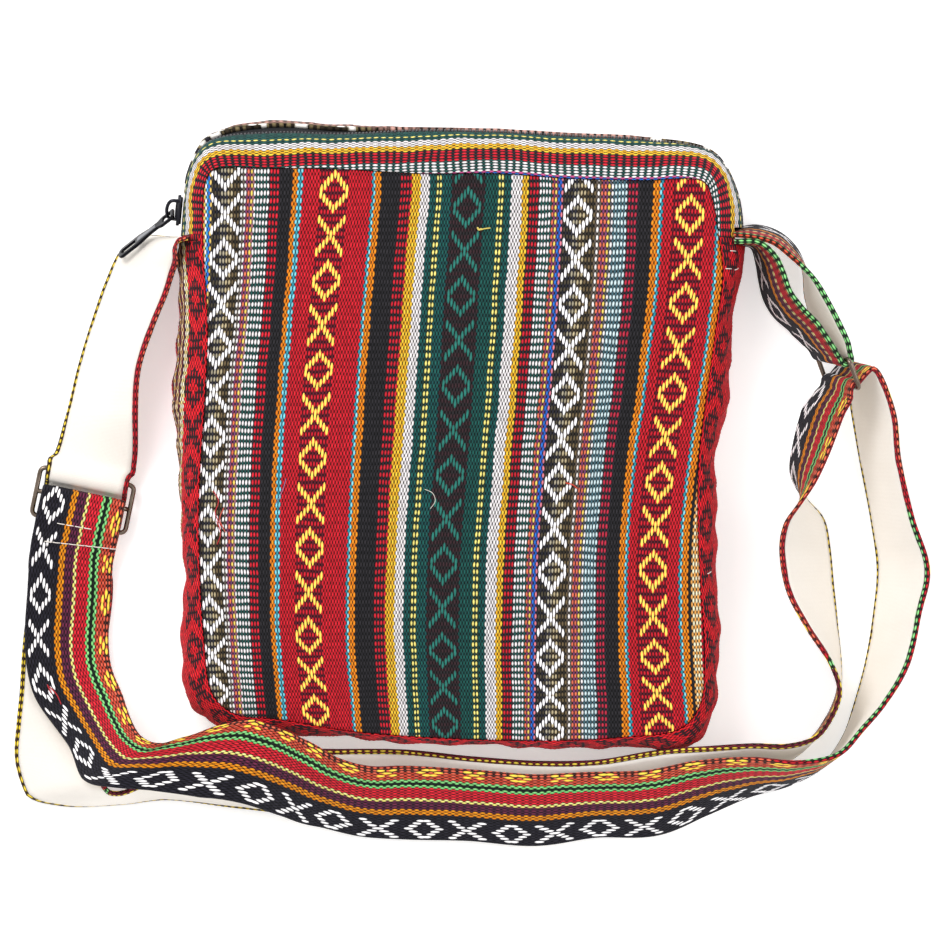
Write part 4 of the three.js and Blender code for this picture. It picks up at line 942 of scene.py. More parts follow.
def flat_part(name, outlines, thick, edge, centre, x_way, y_way):
    """A plate cut to outlines, with rounded edges, its middle at centre and its sides along two ways."""
    curve = bpy.data.curves.new(name, "CURVE")
    curve.dimensions = "2D"
    curve.fill_mode = "BOTH"
    curve.extrude = thick / 2 - edge
    curve.bevel_depth = edge
    curve.bevel_resolution = 2
    curve.offset = -edge
    for outline in outlines:
        spline = curve.splines.new("POLY")
        spline.points.add(len(outline) - 1)
        blank = 0 * outline[:, :1]
        spline.points.foreach_set("co", np.column_stack([outline, blank, blank + 1]).ravel())
        spline.use_cyclic_u = True
    source = bpy.data.objects.new(name, curve)
    bpy.context.scene.collection.objects.link(source)
    piece = plain_mesh(source, name)
    form = bmesh.new()
    form.from_mesh(piece.data)
    bmesh.ops.remove_doubles(form, verts=form.verts, dist=2e-6)
    basis = np.column_stack([x_way, y_way, np.cross(x_way, y_way)])
    for corner in form.verts:
        corner.co = Vector(basis @ np.array(corner.co) + centre)
    bmesh.ops.recalc_face_normals(form, faces=form.faces)
    form.to_mesh(piece.data)
    form.free()
    return piece


def unit(way):
    way = np.asarray(way, float)
    return way / np.linalg.norm(way)


def metal(name, colour, worn, roughness, scale=700.0):
    """Cast or drawn metal: its own colour and shine with paler worn patches, about 6 mm across, and
    fine scratches."""
    material, tree = bare_material(name)
    place = add(tree, "ShaderNodeTexCoord")
    patch = add(tree, "ShaderNodeTexNoise", {
        "Vector": place.outputs["Object"], "Scale": 160.0, "Detail": 4.0})
    scratch = add(tree, "ShaderNodeTexNoise", {
        "Vector": place.outputs["Object"], "Scale": scale, "Detail": 5.0})
    rough = work_out(tree, {"scratch": scratch.outputs[0]},
                     [("rough", "MULTIPLY_ADD", "scratch", 0.25, roughness)])
    tone = add(tree, "ShaderNodeMix", {0: patch.outputs[0], 6: linear(colour), 7: linear(worn)},
               data_type="RGBA")
    bump = add(tree, "ShaderNodeBump", {
        "Height": scratch.outputs[0], "Distance": 0.00004, "Strength": 0.35})
    surface = add(tree, "ShaderNodeBsdfPrincipled", {
        "Base Color": tone.outputs[2], "Roughness": rough["rough"], "Metallic": 1.0,
        "Normal": bump.outputs[0]})
    add(tree, "ShaderNodeOutputMaterial", {0: surface.outputs[0]})
    return material


slider_spot = side_points(SLIDER_TURN, float(ZIP_ROW))
slider_round, slider_across = (
    unit(side_points(SLIDER_TURN + turn, ZIP_ROW + down) - side_points(SLIDER_TURN - turn, ZIP_ROW - down))
    for turn, down in ((0.05, 0.0), (0.0, 0.05)))
slider_out = unit(np.cross(slider_round, slider_across))
tilt = math.radians(35)
pull_axis = slider_round * math.sin(tilt) + slider_across * math.cos(tilt)
pull_axis = unit(pull_axis - slider_out * pull_axis.dot(slider_out))
bail_along = np.cross(pull_axis, slider_out)
plate_base = slider_spot + slider_out * SEAM_GAP
half, nose = SLIDER_WIDTH / 2, SLIDER_WIDTH * 0.31
plate_line = rounded_line([
    (-SLIDER_LENGTH / 2, -nose, 0.0012), (0.0, -nose * 1.15, 0.001), (SLIDER_LENGTH / 2, -half, 0.003),
    (SLIDER_LENGTH / 2, half, 0.003), (0.0, nose * 1.15, 0.001), (-SLIDER_LENGTH / 2, nose, 0.0012),
])
slider_enamel = metal("black_enamelled_zinc", "1c1c20", "3a3a42", 0.18)
slider_plate = flat_part("zip_slider_plate", [plate_line], 0.0014, 0.0004,
                         plate_base + slider_out * (SLIDER_THICK - 0.0007), slider_round,
                         np.cross(slider_out, slider_round))
rib_line = rounded_line([(-0.0045, -0.0011, 0.0009), (0.005, -0.0018, 0.0016), (0.005, 0.0018, 0.0016),
                         (-0.0045, 0.0011, 0.0009)])
slider_rib = flat_part("zip_slider_rib", [rib_line], 0.0010, 0.0003,
                       plate_base + slider_out * (SLIDER_THICK + 0.0003), slider_round,
                       np.cross(slider_out, slider_round))
slider_sides = []
for side in (-1, 1):
    wall = np.array([(-0.0062, 0.0026), (-0.001, 0.0030), (0.0035, 0.0041), (0.0058, 0.0036)])
    way = np.cross(slider_out, slider_round)
    path = [plate_base + slider_round * x + way * y * side + slider_out * SIDE_ROUND for x, y in wall]
    slider_sides.append(smooth_curve(np.array(path), np.linspace(0, 1, 14)))
slider_wall = tube_mesh("zip_slider_sides", slider_sides, [SIDE_ROUND, SIDE_ROUND], sides=10)
arch_rows = np.array([
    plate_base + bail_along * (side * BAIL_LENGTH * far) + slider_out * high
    for side, far, high in ((-1, 0.5, SLIDER_THICK / 2), (-1, 0.44, SLIDER_THICK + BAIL_RISE * 0.7),
                            (1, 0.0, SLIDER_THICK + BAIL_RISE), (1, 0.44, SLIDER_THICK + BAIL_RISE * 0.7),
                            (1, 0.5, SLIDER_THICK / 2))
])
arch_path = smooth_curve(arch_rows, np.linspace(0, 1, 40))
slider_arch = tube_mesh("zip_slider_arch", [arch_path], [BAIL_WIRE / 2], sides=16)
for piece in (slider_plate, slider_rib, slider_wall, slider_arch):
    piece.data.shade_smooth()
    piece.data.materials.clear()
    piece.data.materials.append(slider_enamel)
    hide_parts("zip_slider")
    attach(piece, "bag")

# Zip pull: a die-cast tongue with an eye for the arch and a long slot, black enamelled with its flat
# worn to grey. It hangs in the arch and lies on the strap.
PULL_LENGTH = 0.033
PULL_WIDTH = 0.007
PULL_NECK = 0.0044
PULL_THICK = 0.0014
PULL_PIN = 0.0014
pin_place = (plate_base + slider_out * (SLIDER_THICK + BAIL_RISE * 0.42)
             - bail_along * BAIL_LENGTH * 0.25)
lean = math.radians(49)
pull_along = slider_out * math.cos(lean) - bail_along * math.sin(lean)
head, half, neck = PULL_PIN / 2 + 0.0003, PULL_WIDTH / 2, PULL_NECK / 2
tongue_line = rounded_line([
    (-head, -half, 0.0009), (PULL_LENGTH * 0.19, -half, 0.0015), (PULL_LENGTH * 0.27, -neck, 0.0015),
    (PULL_LENGTH * 0.42, -neck, 0.002), (PULL_LENGTH * 0.62, -half, 0.003), (PULL_LENGTH, -half, 0.0034),
    (PULL_LENGTH, half, 0.0034), (PULL_LENGTH * 0.62, half, 0.003), (PULL_LENGTH * 0.42, neck, 0.002),
    (PULL_LENGTH * 0.27, neck, 0.0015), (PULL_LENGTH * 0.19, half, 0.0015), (-head, half, 0.0009),
])
eye_half = half - 0.0016
eye_line = rounded_line([(PULL_PIN / 2, -eye_half, 0.0004), (PULL_PIN / 2, eye_half, 0.0004),
                         (PULL_LENGTH * 0.165, eye_half, 0.0006), (PULL_LENGTH * 0.165, -eye_half, 0.0006)])
slot_half = half * 0.4
slot_line = rounded_line([(PULL_LENGTH * 0.68, -slot_half, 0.0007), (PULL_LENGTH * 0.68, slot_half, 0.0007),
                          (PULL_LENGTH - half * 0.6, slot_half, 0.0012),
                          (PULL_LENGTH - half * 0.6, -slot_half, 0.0012)])
zip_pull = flat_part("zip_pull_tongue", [tongue_line, eye_line, slot_line], PULL_THICK, 0.0004, pin_place,
                     pull_along, pull_axis)
zip_pull.data.materials.clear()
zip_pull.data.materials.append(metal("black_enamelled_pull", "121215", "2c2c31", 0.10))
inlay_line = rounded_line([(PULL_LENGTH * 0.30, -0.0011, 0.001), (PULL_LENGTH * 0.64, -0.0016, 0.0012),
                           (PULL_LENGTH * 0.64, 0.0016, 0.0012), (PULL_LENGTH * 0.30, 0.0011, 0.001)])
pull_face = flat_part("zip_pull_face", [inlay_line], PULL_THICK + 0.0003, 0.0003, pin_place,
                      pull_along, pull_axis)
pull_face.data.materials.clear()
pull_face.data.materials.append(metal("worn_grey_zinc", "6e6f74", "9a9ba0", 0.20))
for piece in (zip_pull, pull_face):
    piece.data.shade_smooth()
    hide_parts("zip_pull")
    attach(piece, "zip_pull")

# Strap: one long channel of striped cloth with its edges turned over a plain cotton tape. From its
# end at the strap slider it goes down and round the bag to the ring, back to the slider and up into
# the left side seam.
STRAP_WIDTH = 0.038
WEAVE_THICK = 0.001
EDGE_WRAP = 0.0021
WIRE_THICK = 0.0022
FRAME_CLEAR = 0.0015
GLIDE_REACH = 0.011
RING_REACH = 0.007
STRAP_TAIL = 0.027
LAYER_PITCH = STRAP_THICK + LAYER_GAP
FOLD_RADIUS = WIRE_THICK / 2 + LAYER_GAP + STRAP_THICK / 2
REST_HIGH = TABLE_CLEAR + STRAP_THICK / 2
# How far from the cloth's middle the stripes of its turned edges begin, how far the stripes wander
# along the strap, and how high it ripples
EDGE_STARTS = 0.0186
STRIPE_WANDER = 0.0007
STRAP_RIPPLE = 0.0002
# The cloth's stripes across the strap in millimetres; beyond 19 they are on its turned edges
STRAP_STRIPES = [
    (-30.0, "f2d23f", "3a2418"),
    (-20.2, "26242e", "1e1c26"),
    (-5.25, "f29a1c", "dd8213"),
    (-2.45, "6e2a48", "4b2038"),
    (1.75, "f5ee9a", "f0e27c"),
    (3.15, "e82838", "c4202f"),
    (8.75, "8fe08a", "7fd27c"),
    (10.15, "17251c", "101a14"),
    (11.55, "8fe08a", "7fd27c"),
    (12.95, "e0604a", "c8452f"),
    (16.45, "e8694f", "4a2a26"),
    (19.6, "cf2230", "7d1a26"),
    (26.0, "8fe08a", "17251c"),
    (32.0, "6e2230", "431620"),
    (33.0, "f6da4e", "6e2230"),
]
# How far the turned edge's stripes are moved, in millimetres, at rows of the strap's route: red from
# the slider on, light green up the right side, red at the ring and yellow on the layer that comes back
EDGE_DRIFT = np.array([
    # row, moved
    (0.0, 0.0), (36.5, 0.0), (37.2, -6.4), (44.0, -6.4), (44.7, 0.0), (62.5, 0.0), (63.2, -13.4),
    (80.0, -13.4), (80.7, 0.0), (108.0, 0.0),
])
STRAP_FIGURES = [
    (-12.6, 3.0, "f4f1f2", 3, 1.2),
    (16.8, 6.0, "f2cf4a", 1, 1.5),
]
# The route as the strap's two edges, the one beside the black stripe first: x and y as shares of the
# panel sizes and z as a share of STRAP_WIDTH
STRAP_TO_RING = [
    # first edge x, y, z, second edge x, y, z
    (-0.855, -0.250, 0.15, -0.686, -0.250, 0.15),
    (-0.858, -0.340, 0.13, -0.694, -0.346, 0.13),
    (-0.835, -0.414, 0.18, -0.695, -0.398, 0.33),
    (-0.791, -0.473, 0.22, -0.678, -0.452, 0.62),
    (-0.745, -0.526, 0.46, -0.646, -0.508, 0.93),
    (-0.708, -0.571, 0.88, -0.610, -0.531, 1.12),
    (-0.680, -0.594, 1.14, -0.530, -0.508, 1.17),
    (-0.607, -0.605, 1.16, -0.464, -0.484, 1.18),
    (-0.507, -0.619, 1.13, -0.394, -0.473, 1.15),
    (-0.428, -0.632, 1.00, -0.345, -0.486, 1.12),
    (-0.339, -0.646, 0.58, -0.303, -0.520, 0.97),
    (-0.270, -0.671, 0.24, -0.240, -0.549, 0.78),
    (-0.190, -0.693, 0.12, -0.174, -0.563, 0.64),
    (-0.097, -0.700, 0.10, -0.101, -0.562, 0.56),
    (0.026, -0.702, 0.10, 0.028, -0.569, 0.60),
    (0.157, -0.711, 0.10, 0.157, -0.578, 0.60),
    (0.276, -0.695, 0.10, 0.276, -0.574, 0.70),
    (0.393, -0.694, 0.10, 0.388, -0.568, 0.71),
    (0.494, -0.656, 0.10, 0.494, -0.552, 0.85),
    (0.583, -0.621, 0.09, 0.587, -0.547, 0.97),
    (0.662, -0.600, 0.08, 0.676, -0.553, 1.03),
    (0.731, -0.566, 0.06, 0.755, -0.538, 1.04),
    (0.772, -0.517, 0.05, 0.801, -0.495, 1.03),
    (0.797, -0.455, 0.05, 0.844, -0.450, 0.97),
    (0.817, -0.387, 0.05, 0.892, -0.378, 0.92),
    (0.833, -0.301, 0.05, 0.916, -0.286, 0.90),
    (0.841, -0.211, 0.05, 0.934, -0.211, 0.87),
    (0.829, -0.121, 0.05, 0.902, -0.117, 0.94),
    (0.806, -0.013, 0.06, 0.876, -0.013, 0.98),
    (0.788, 0.072, 0.08, 0.866, 0.074, 1.01),
]
RING_TO_GLIDE = [
    # first edge x, y, z, second edge x, y, z
    (0.692, 0.075, 0.08, 0.768, 0.080, 1.01),
    (0.672, 0.013, 0.06, 0.740, 0.010, 1.01),
    (0.668, -0.036, 0.05, 0.710, -0.048, 1.04),
    (0.694, -0.080, 0.05, 0.678, -0.090, 1.04),
    (0.733, -0.121, 0.05, 0.648, -0.130, 0.92),
    (0.745, -0.171, 0.05, 0.640, -0.171, 0.84),
    (0.753, -0.247, 0.05, 0.652, -0.243, 0.86),
    (0.759, -0.319, 0.05, 0.694, -0.315, 0.95),
    (0.765, -0.382, 0.05, 0.739, -0.378, 1.03),
    (0.762, -0.434, 0.05, 0.756, -0.427, 1.04),
    (0.738, -0.484, 0.05, 0.741, -0.470, 1.04),
    (0.700, -0.529, 0.05, 0.710, -0.508, 1.04),
    (0.646, -0.564, 0.05, 0.658, -0.524, 0.98),
    (0.579, -0.590, 0.05, 0.587, -0.524, 0.92),
    (0.494, -0.620, 0.05, 0.488, -0.531, 0.80),
    (0.385, -0.657, 0.05, 0.381, -0.542, 0.60),
    (0.276, -0.677, 0.05, 0.276, -0.553, 0.62),
    (0.157, -0.689, 0.05, 0.157, -0.554, 0.52),
    (0.028, -0.682, 0.05, 0.028, -0.545, 0.52),
    (-0.101, -0.677, 0.05, -0.101, -0.535, 0.40),
    (-0.220, -0.668, 0.05, -0.230, -0.535, 0.50),
    (-0.333, -0.650, 0.05, -0.341, -0.540, 0.66),
    (-0.448, -0.639, 0.05, -0.456, -0.563, 0.90),
    (-0.577, -0.625, 0.05, -0.587, -0.583, 1.00),
    (-0.656, -0.632, 0.05, -0.660, -0.608, 1.03),
    (-0.716, -0.635, 0.05, -0.684, -0.607, 0.98),
    (-0.785, -0.632, 0.05, -0.706, -0.590, 0.80),
    (-0.844, -0.616, 0.05, -0.724, -0.571, 0.56),
    (-0.868, -0.562, 0.05, -0.731, -0.549, 0.34),
    (-0.872, -0.495, 0.04, -0.716, -0.502, 0.12),
    (-0.870, -0.436, 0.04, -0.705, -0.445, 0.06),
    (-0.862, -0.346, 0.036, -0.700, -0.355, 0.036),
    (-0.852, -0.247, 0.036, -0.684, -0.247, 0.036),
]
GLIDE_TO_BAG = [
    # first edge x, y, z, second edge x, y, z
    (-0.789, 0.013, 0.05, -0.640, -0.005, 0.28),
    (-0.773, 0.068, 0.04, -0.636, 0.066, 0.52),
    (-0.751, 0.151, 0.04, -0.628, 0.153, 0.66),
    (-0.726, 0.234, 0.04, -0.600, 0.225, 0.68),
    (-0.700, 0.302, 0.04, -0.572, 0.289, 0.66),
    (-0.668, 0.356, 0.05, -0.560, 0.335, 0.72),
    (-0.620, 0.388, 0.05, -0.556, 0.366, 0.92),
    (-0.571, 0.388, 0.04, -0.546, 0.380, 1.02),
    (-0.530, 0.385, 0.04, -0.528, 0.385, 1.04),
]


def table_rows(rows):
    """Rows of a route in metres."""
    return np.array(rows) * np.array([PANEL_WIDTH, PANEL_HEIGHT, STRAP_WIDTH] * 2)


glide_across, glide_along = unit((0.979, -0.204, 0)), unit((-0.204, -0.979, 0))
tail_high = REST_HIGH + LAYER_PITCH
glide_high = tail_high + FOLD_RADIUS
top_high = glide_high + FOLD_RADIUS
glide_centre = np.array([-0.743 * PANEL_WIDTH, -0.085 * PANEL_HEIGHT, glide_high])


def glide_row(along_mm, high):
    """Both edges of the strap at a place along the strap slider, in millimetres from its middle."""
    middle = glide_centre + glide_along * along_mm / 1000
    middle[2] = high
    side = glide_across * STRAP_WIDTH / 2
    return np.concatenate([middle - side, middle + side])


reach = GLIDE_REACH * 1000
tail = STRAP_TAIL * 1000
# The strap's sewn end goes in over the slider's lower bar, round its middle bar and out over itself
tail_rows = [
    glide_row(tail, tail_high),
    glide_row(reach + 8, tail_high + 0.0003),
    glide_row(reach + 3, top_high - 0.0009),
    glide_row(reach, top_high + 0.0001),
    glide_row(reach - 3.2, top_high - 0.001),
    glide_row(reach * 0.45, tail_high + 0.0016),
]
for turn in np.radians(np.linspace(0, 180, 7)):
    tail_rows.append(glide_row(-FOLD_RADIUS * 1000 * math.sin(turn),
                               glide_high - FOLD_RADIUS * math.cos(turn)))
tail_rows += [
    glide_row(reach * 0.5, top_high + 0.0014),
    glide_row(reach, top_high + LAYER_PITCH + 0.0002),
    glide_row(reach + 6, top_high + LAYER_PITCH - 0.0014),
    glide_row(tail - 3, tail_high + LAYER_PITCH + 0.0012),
]
# The strap that comes back from the ring runs under all of these and up over the slider's far bar
through_rows = [
    glide_row(tail + 2, REST_HIGH),
    glide_row(reach, REST_HIGH),
    glide_row(reach * 0.4, REST_HIGH),
    glide_row(0, REST_HIGH),
    glide_row(-reach * 0.36, REST_HIGH + 0.0006),
    glide_row(-reach * 0.56, REST_HIGH + 0.0028),
    glide_row(-reach * 0.64, glide_high + 0.0003),
    glide_row(-reach * 0.8, top_high - 0.0005),
    glide_row(-reach, top_high + 0.0001),
    glide_row(-reach - 3.2, top_high - 0.0012),
    np.array([-0.1812, -0.0012, 0.0030, -0.1462, -0.0078, 0.0078]),
]

ring_up = unit((0.30, -0.10, 0.95))
ring_along = np.array([0.34, -0.90, -0.20])
ring_along = unit(ring_along - ring_up * ring_along.dot(ring_up))
ring_side = np.cross(ring_along, ring_up)
ring_half = STRAP_WIDTH / 2 + FRAME_CLEAR + WIRE_THICK
ring_low = ring_half * ring_up[2] + RING_REACH * abs(ring_along[2]) + WIRE_THICK
ring_centre = np.array([0.755 * PANEL_WIDTH, 0.149 * PANEL_HEIGHT, ring_low])


def ring_row(along_mm, side_mm, first_up):
    """Both edges of a strap at a place beside the ring, in millimetres from its middle. first_up is 1
    where the strap's first edge is the upper one and -1 where it is the lower one."""
    middle = ring_centre + ring_along * along_mm / 1000 + ring_side * side_mm / 1000
    edge = ring_up * STRAP_WIDTH / 2 * first_up
    return np.concatenate([middle + edge, middle - edge])


ring_reach, fold = RING_REACH * 1000, FOLD_RADIUS * 1000
strap_ring_rows = [ring_row(ring_reach * 0.30, -10.5, -1), ring_row(ring_reach * 0.45, -5.5, -1)]
for turn in np.radians(np.linspace(-40, 50, 5)):
    strap_ring_rows.append(ring_row(ring_reach - fold * math.cos(turn), fold * math.sin(turn), -1))
strap_ring_rows.append(ring_row(ring_reach + 1.2, fold + 1.2, -1))


def strip_stations(rows, step):
    """Places close together along a strap: middle, directions across and of its face, and row."""
    rows = np.array(rows)
    spans = np.linalg.norm(np.diff((rows[:, :3] + rows[:, 3:]) / 2, axis=0), axis=1)
    places = [np.array([0.0])]
    for n, span in enumerate(spans):
        pieces = max(2, int(math.ceil(span / step)))
        places.append(n + np.arange(1, pieces + 1) / pieces)
    shares = np.concatenate(places) / (len(rows) - 1)
    first, second = smooth_curve(rows[:, :3], shares), smooth_curve(rows[:, 3:], shares)
    across = (second - first) / np.linalg.norm(second - first, axis=1, keepdims=True)
    middle = (first + second) / 2
    ahead = np.gradient(middle, axis=0)
    ahead /= np.linalg.norm(ahead, axis=1, keepdims=True)
    face = np.cross(ahead, across)
    size = np.linalg.norm(face, axis=1, keepdims=True)
    stretch = np.minimum(1 / size, 1.12)
    face = face / size
    down = (stretch[:, 0] * STRAP_WIDTH * np.abs(across[:, 2]) + STRAP_THICK * np.abs(face[:, 2])) / 2
    middle[:, 2] = np.maximum(middle[:, 2], TABLE_CLEAR + down)
    return middle, across * stretch, face, shares * (len(rows) - 1)


def channel_section():
    """The woven channel's section: across, towards the face, and the place on the flat cloth."""
    side, thick, edge = STRAP_WIDTH / 2, STRAP_THICK / 2, STRAP_THICK / 2
    flat = np.linspace(-side + edge, side - edge, 30)
    turn = np.radians(np.linspace(90, -90, 9))[1:-1]
    outer, inner = [], []
    for x in flat:
        dip = 0.00022 * math.exp(-((abs(x) - side + 0.0032) / 0.0008) ** 2)
        outer.append((x, thick - dip, x))
        inner.append((x, thick - WEAVE_THICK, x))
    small = edge - WEAVE_THICK
    bend_start = side - edge
    bend_end = bend_start + edge * math.pi
    right_outer, right_inner = [], []
    for a in turn:
        place = bend_start + edge * (math.pi / 2 - a)
        right_outer.append((bend_start + edge * math.cos(a), edge * math.sin(a), place))
        right_inner.append((bend_start + small * math.cos(a), small * math.sin(a), place))
    for far in (0.0, EDGE_WRAP - edge):
        right_outer.append((bend_start - far, -thick, bend_end + far))
        right_inner.append((bend_start - far, -thick + WEAVE_THICK, bend_end + far))
    left_outer = [(-x, up, -s) for x, up, s in reversed(right_outer)]
    left_inner = [(-x, up, -s) for x, up, s in reversed(right_inner)]
    return np.array(left_outer + outer + right_outer), np.array(left_inner + inner + right_inner)


def strap_pieces(name, rows, step, seed, edge_drift, edge_side):
    """The woven channel of a strap and the tape inside it, along the same stations. edge_drift moves
    the stripes of the turned edge on edge_side, which is 1 for the second edge and -1 for the first."""
    middle, across, face, row = strip_stations(rows, step)
    far = lengths_along(middle)
    outer_line, inner_line = channel_section()
    drift = STRIPE_WANDER * soft_waves(far * 1000, seed, 210.0)
    cloth_across = outer_line[None, :, 2] + drift[:, None]
    cloth_along = far[:, None] + 0 * cloth_across
    ripple = STRAP_RIPPLE * soft_waves(far * 1000, seed + 1, 34.0)

    def grid(line):
        side = line[None, :, 0, None] * across[:, None]
        up = line[None, :, 1] + ripple[:, None] * (np.abs(line[None, :, 0]) < STRAP_WIDTH / 2 * 0.9)
        return middle[:, None] + side + up[..., None] * face[:, None]

    woven = cloth_mesh(name + "_cloth", grid(outer_line), grid(inner_line), cloth_across, cloth_along)
    turned = edge_side * outer_line[None, :, 2] > EDGE_STARTS
    moved = np.interp(row, edge_drift[:, 0], edge_drift[:, 1])[:, None] * turned
    places = woven.data.attributes.new("stripe_drift", "FLOAT", "POINT")
    places.data.foreach_set("value", np.tile(moved.ravel(), 2))
    side = STRAP_WIDTH / 2 - 0.0018 - LAYER_GAP
    flat = np.linspace(-side, side, 14)
    top = np.column_stack([flat, 0 * flat - STRAP_THICK / 2 + 0.001])
    under = np.column_stack([flat, 0 * flat - STRAP_THICK / 2 + 0.0001])
    tape = cloth_mesh(name + "_tape", grid(top), grid(under), flat[None] + 0 * far[:, None],
                      far[:, None] + 0 * flat[None])
    return woven, tape


strap_rows = [*tail_rows, *table_rows(STRAP_TO_RING), *strap_ring_rows, *table_rows(RING_TO_GLIDE),
              *through_rows, *table_rows(GLIDE_TO_BAG)]
strap, strap_tape = strap_pieces("strap", strap_rows, 0.0022, 21, EDGE_DRIFT, 1)
strap_hemp = woven_hemp("strap_hemp", STRAP_STRIPES, STRAP_FIGURES)
strap.data.materials.append(strap_hemp)
cotton_tape = plain_tape("cream_cotton_tape", "f8f3ec", "e9e1d7", TAPE_THREAD, 0.9, 0.0001)
strap_tape.data.materials.append(cotton_tape)
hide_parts("strap_woven")
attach(strap, "bag")
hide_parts("strap_lining")
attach(strap_tape, "bag")

# Ring tab: a short loop of the same strap, sewn into the right side seam, with the ring in its fold.
TAB_TO_RING = [
    # first edge x, y, z, second edge x, y, z
    (0.548, 0.390, 1.03, 0.549, 0.402, 0.04),
    (0.587, 0.386, 1.01, 0.597, 0.410, 0.06),
    (0.626, 0.376, 1.00, 0.642, 0.398, 0.07),
    (0.660, 0.352, 1.01, 0.676, 0.370, 0.07),
    (0.690, 0.327, 1.03, 0.694, 0.331, 0.07),
    (0.715, 0.300, 1.07, 0.698, 0.282, 0.08),
]
RING_TO_BAG = [
    # first edge x, y, z, second edge x, y, z
    (0.703, 0.240, 1.08, 0.668, 0.222, 0.11),
    (0.682, 0.262, 1.07, 0.636, 0.246, 0.08),
    (0.660, 0.290, 1.05, 0.615, 0.277, 0.06),
    (0.646, 0.326, 1.05, 0.605, 0.312, 0.05),
    (0.630, 0.353, 1.04, 0.600, 0.344, 0.05),
    (0.598, 0.377, 1.04, 0.588, 0.375, 0.04),
    (0.549, 0.378, 1.04, 0.548, 0.378, 0.04),
]
# The far layer's turned edge is red where it leaves the bag: row of the tab's route and millimetres
TAB_EDGE_DRIFT = np.array([(0.0, 9.0), (3.4, 9.0), (4.2, 0.0), (24.0, 0.0)])
TAB_STRIPES = [
    (-40.0, "e2583c", "3a2018"),
    (-27.0, "8fe08a", "1a2a1e"),
    (-17.6, "e0604a", "7a2a20"),
    (-14.4, "dc2436", "b91b2b"),
    (-8.8, "f5ee9a", "6e2a48"),
    (-6.0, "6e2a48", "4b2038"),
    (-2.0, "f29a1c", "dd8213"),
    (1.0, "26242e", "1e1c26"),
    (19.6, "f29a1c", "3a2418"),
]
tab_ring_rows = [ring_row(-ring_reach - 5, -fold - 0.6, 1), ring_row(-ring_reach - 1.8, -fold - 0.1, 1)]
for turn in np.radians(np.linspace(0, 180, 7)):
    tab_ring_rows.append(ring_row(-ring_reach + fold * math.sin(turn), -fold * math.cos(turn), 1))
tab_ring_rows += [ring_row(-ring_reach - 1.8, fold + 0.2, 1), ring_row(-ring_reach - 5, fold + 1.2, 1)]
tab_rows = [*table_rows(TAB_TO_RING), *tab_ring_rows, *table_rows(RING_TO_BAG)]
tab, tab_tape = strap_pieces("ring_tab", tab_rows, 0.0016, 33, TAB_EDGE_DRIFT, -1)
tab.data.materials.append(woven_hemp("tab_hemp", TAB_STRIPES, [(9.8, 0.0, "f4f1f2", 3, 1.2)]))
tab_tape.data.materials.append(cotton_tape)
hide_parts("ring_tab_woven")
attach(tab, "bag")
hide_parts("ring_tab_lining")
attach(tab_tape, "bag")

# Strap slider and ring: bent from round steel wire with an antique brassy plating that has worn to
# grey steel. The slider has a middle bar that the strap's end is folded round.
half_across = STRAP_WIDTH / 2 + FRAME_CLEAR + WIRE_THICK / 2


def wire_frame_line(reach, corner):
    """The middle line of a wire frame that the strap runs through."""
    return rounded_line([(-half_across, -reach, corner), (half_across, -reach, corner),
                         (half_across, reach, corner), (-half_across, reach, corner)], steps=8)


def place_line(line, centre, x_way, y_way):
    """A flat line set in space, with its middle at centre and its sides along two ways."""
    return centre + line[:, :1] * x_way + line[:, 1:2] * y_way


def even_line(line, step, closed):
    """The same line with points a step apart."""
    if closed:
        line = np.vstack([line, line[:1]])
    far = lengths_along(line)
    places = np.linspace(0, far[-1], int(far[-1] / step) + 1)
    even = np.column_stack([np.interp(places, far, line[:, n]) for n in range(line.shape[1])])
    return even[:-1] if closed else even


antique_plate = metal("antique_plated_steel", "4a3c2e", "94867a", 0.08, 1400.0)
glide_line = even_line(wire_frame_line(GLIDE_REACH, 0.0028), 0.0008, True)
glide_path = place_line(glide_line, glide_centre, glide_across, glide_along)
glide_frame = tube_mesh("strap_slider_frame", [glide_path], [WIRE_THICK / 2], sides=16, closed=True)
bar_line = np.column_stack([np.linspace(-half_across, half_across, 12), np.zeros(12)])
bar_path = place_line(bar_line, glide_centre, glide_across, glide_along)
glide_bar = tube_mesh("strap_slider_bar", [bar_path], [WIRE_THICK / 2], sides=16)
ring_line = even_line(wire_frame_line(RING_REACH, 0.0034), 0.0008, True)
ring_path = place_line(ring_line, ring_centre, ring_up, ring_along)
ring_frame = tube_mesh("strap_ring_wire", [ring_path], [WIRE_THICK / 2], sides=16, closed=True)
for piece, node in ((glide_frame, "strap_slider"), (glide_bar, "strap_slider"), (ring_frame, "strap_ring")):
    piece.data.materials.append(antique_plate)
    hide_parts(node)
    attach(piece, "bag")

# Hand-sewn stitches: white cotton thread that holds the strap's folded end, and short tacks on the
# right side. Each stitch is a plump thread that dips into the cloth at both ends.
STITCH_ROWS = [
    # on the picture plane in millimetres: start x, y, end x, y, where it is sewn
    (-180.2, -31.6, -164.2, -34.4, "strap"),
    (-186.0, -39.8, -152.8, -43.4, "strap"),
    (120.6, 90.4, 127.5, 90.4, "gusset"),
    (120.2, 82.4, 127.6, 82.4, "gusset"),
    (111.0, -53.6, 116.2, -53.6, "gusset"),
]
STITCH_LENGTH = 0.0034
STITCH_ROUND = 0.00022
STITCH_RISE = 0.00035
STITCH_SINK = 0.00015


def cloth_shape(piece):
    """The faces of a piece, for finding the place on it under a point of the picture plane."""
    mesh = piece.data
    return BVHTree.FromPolygons([v.co for v in mesh.vertices], [p.vertices for p in mesh.polygons])


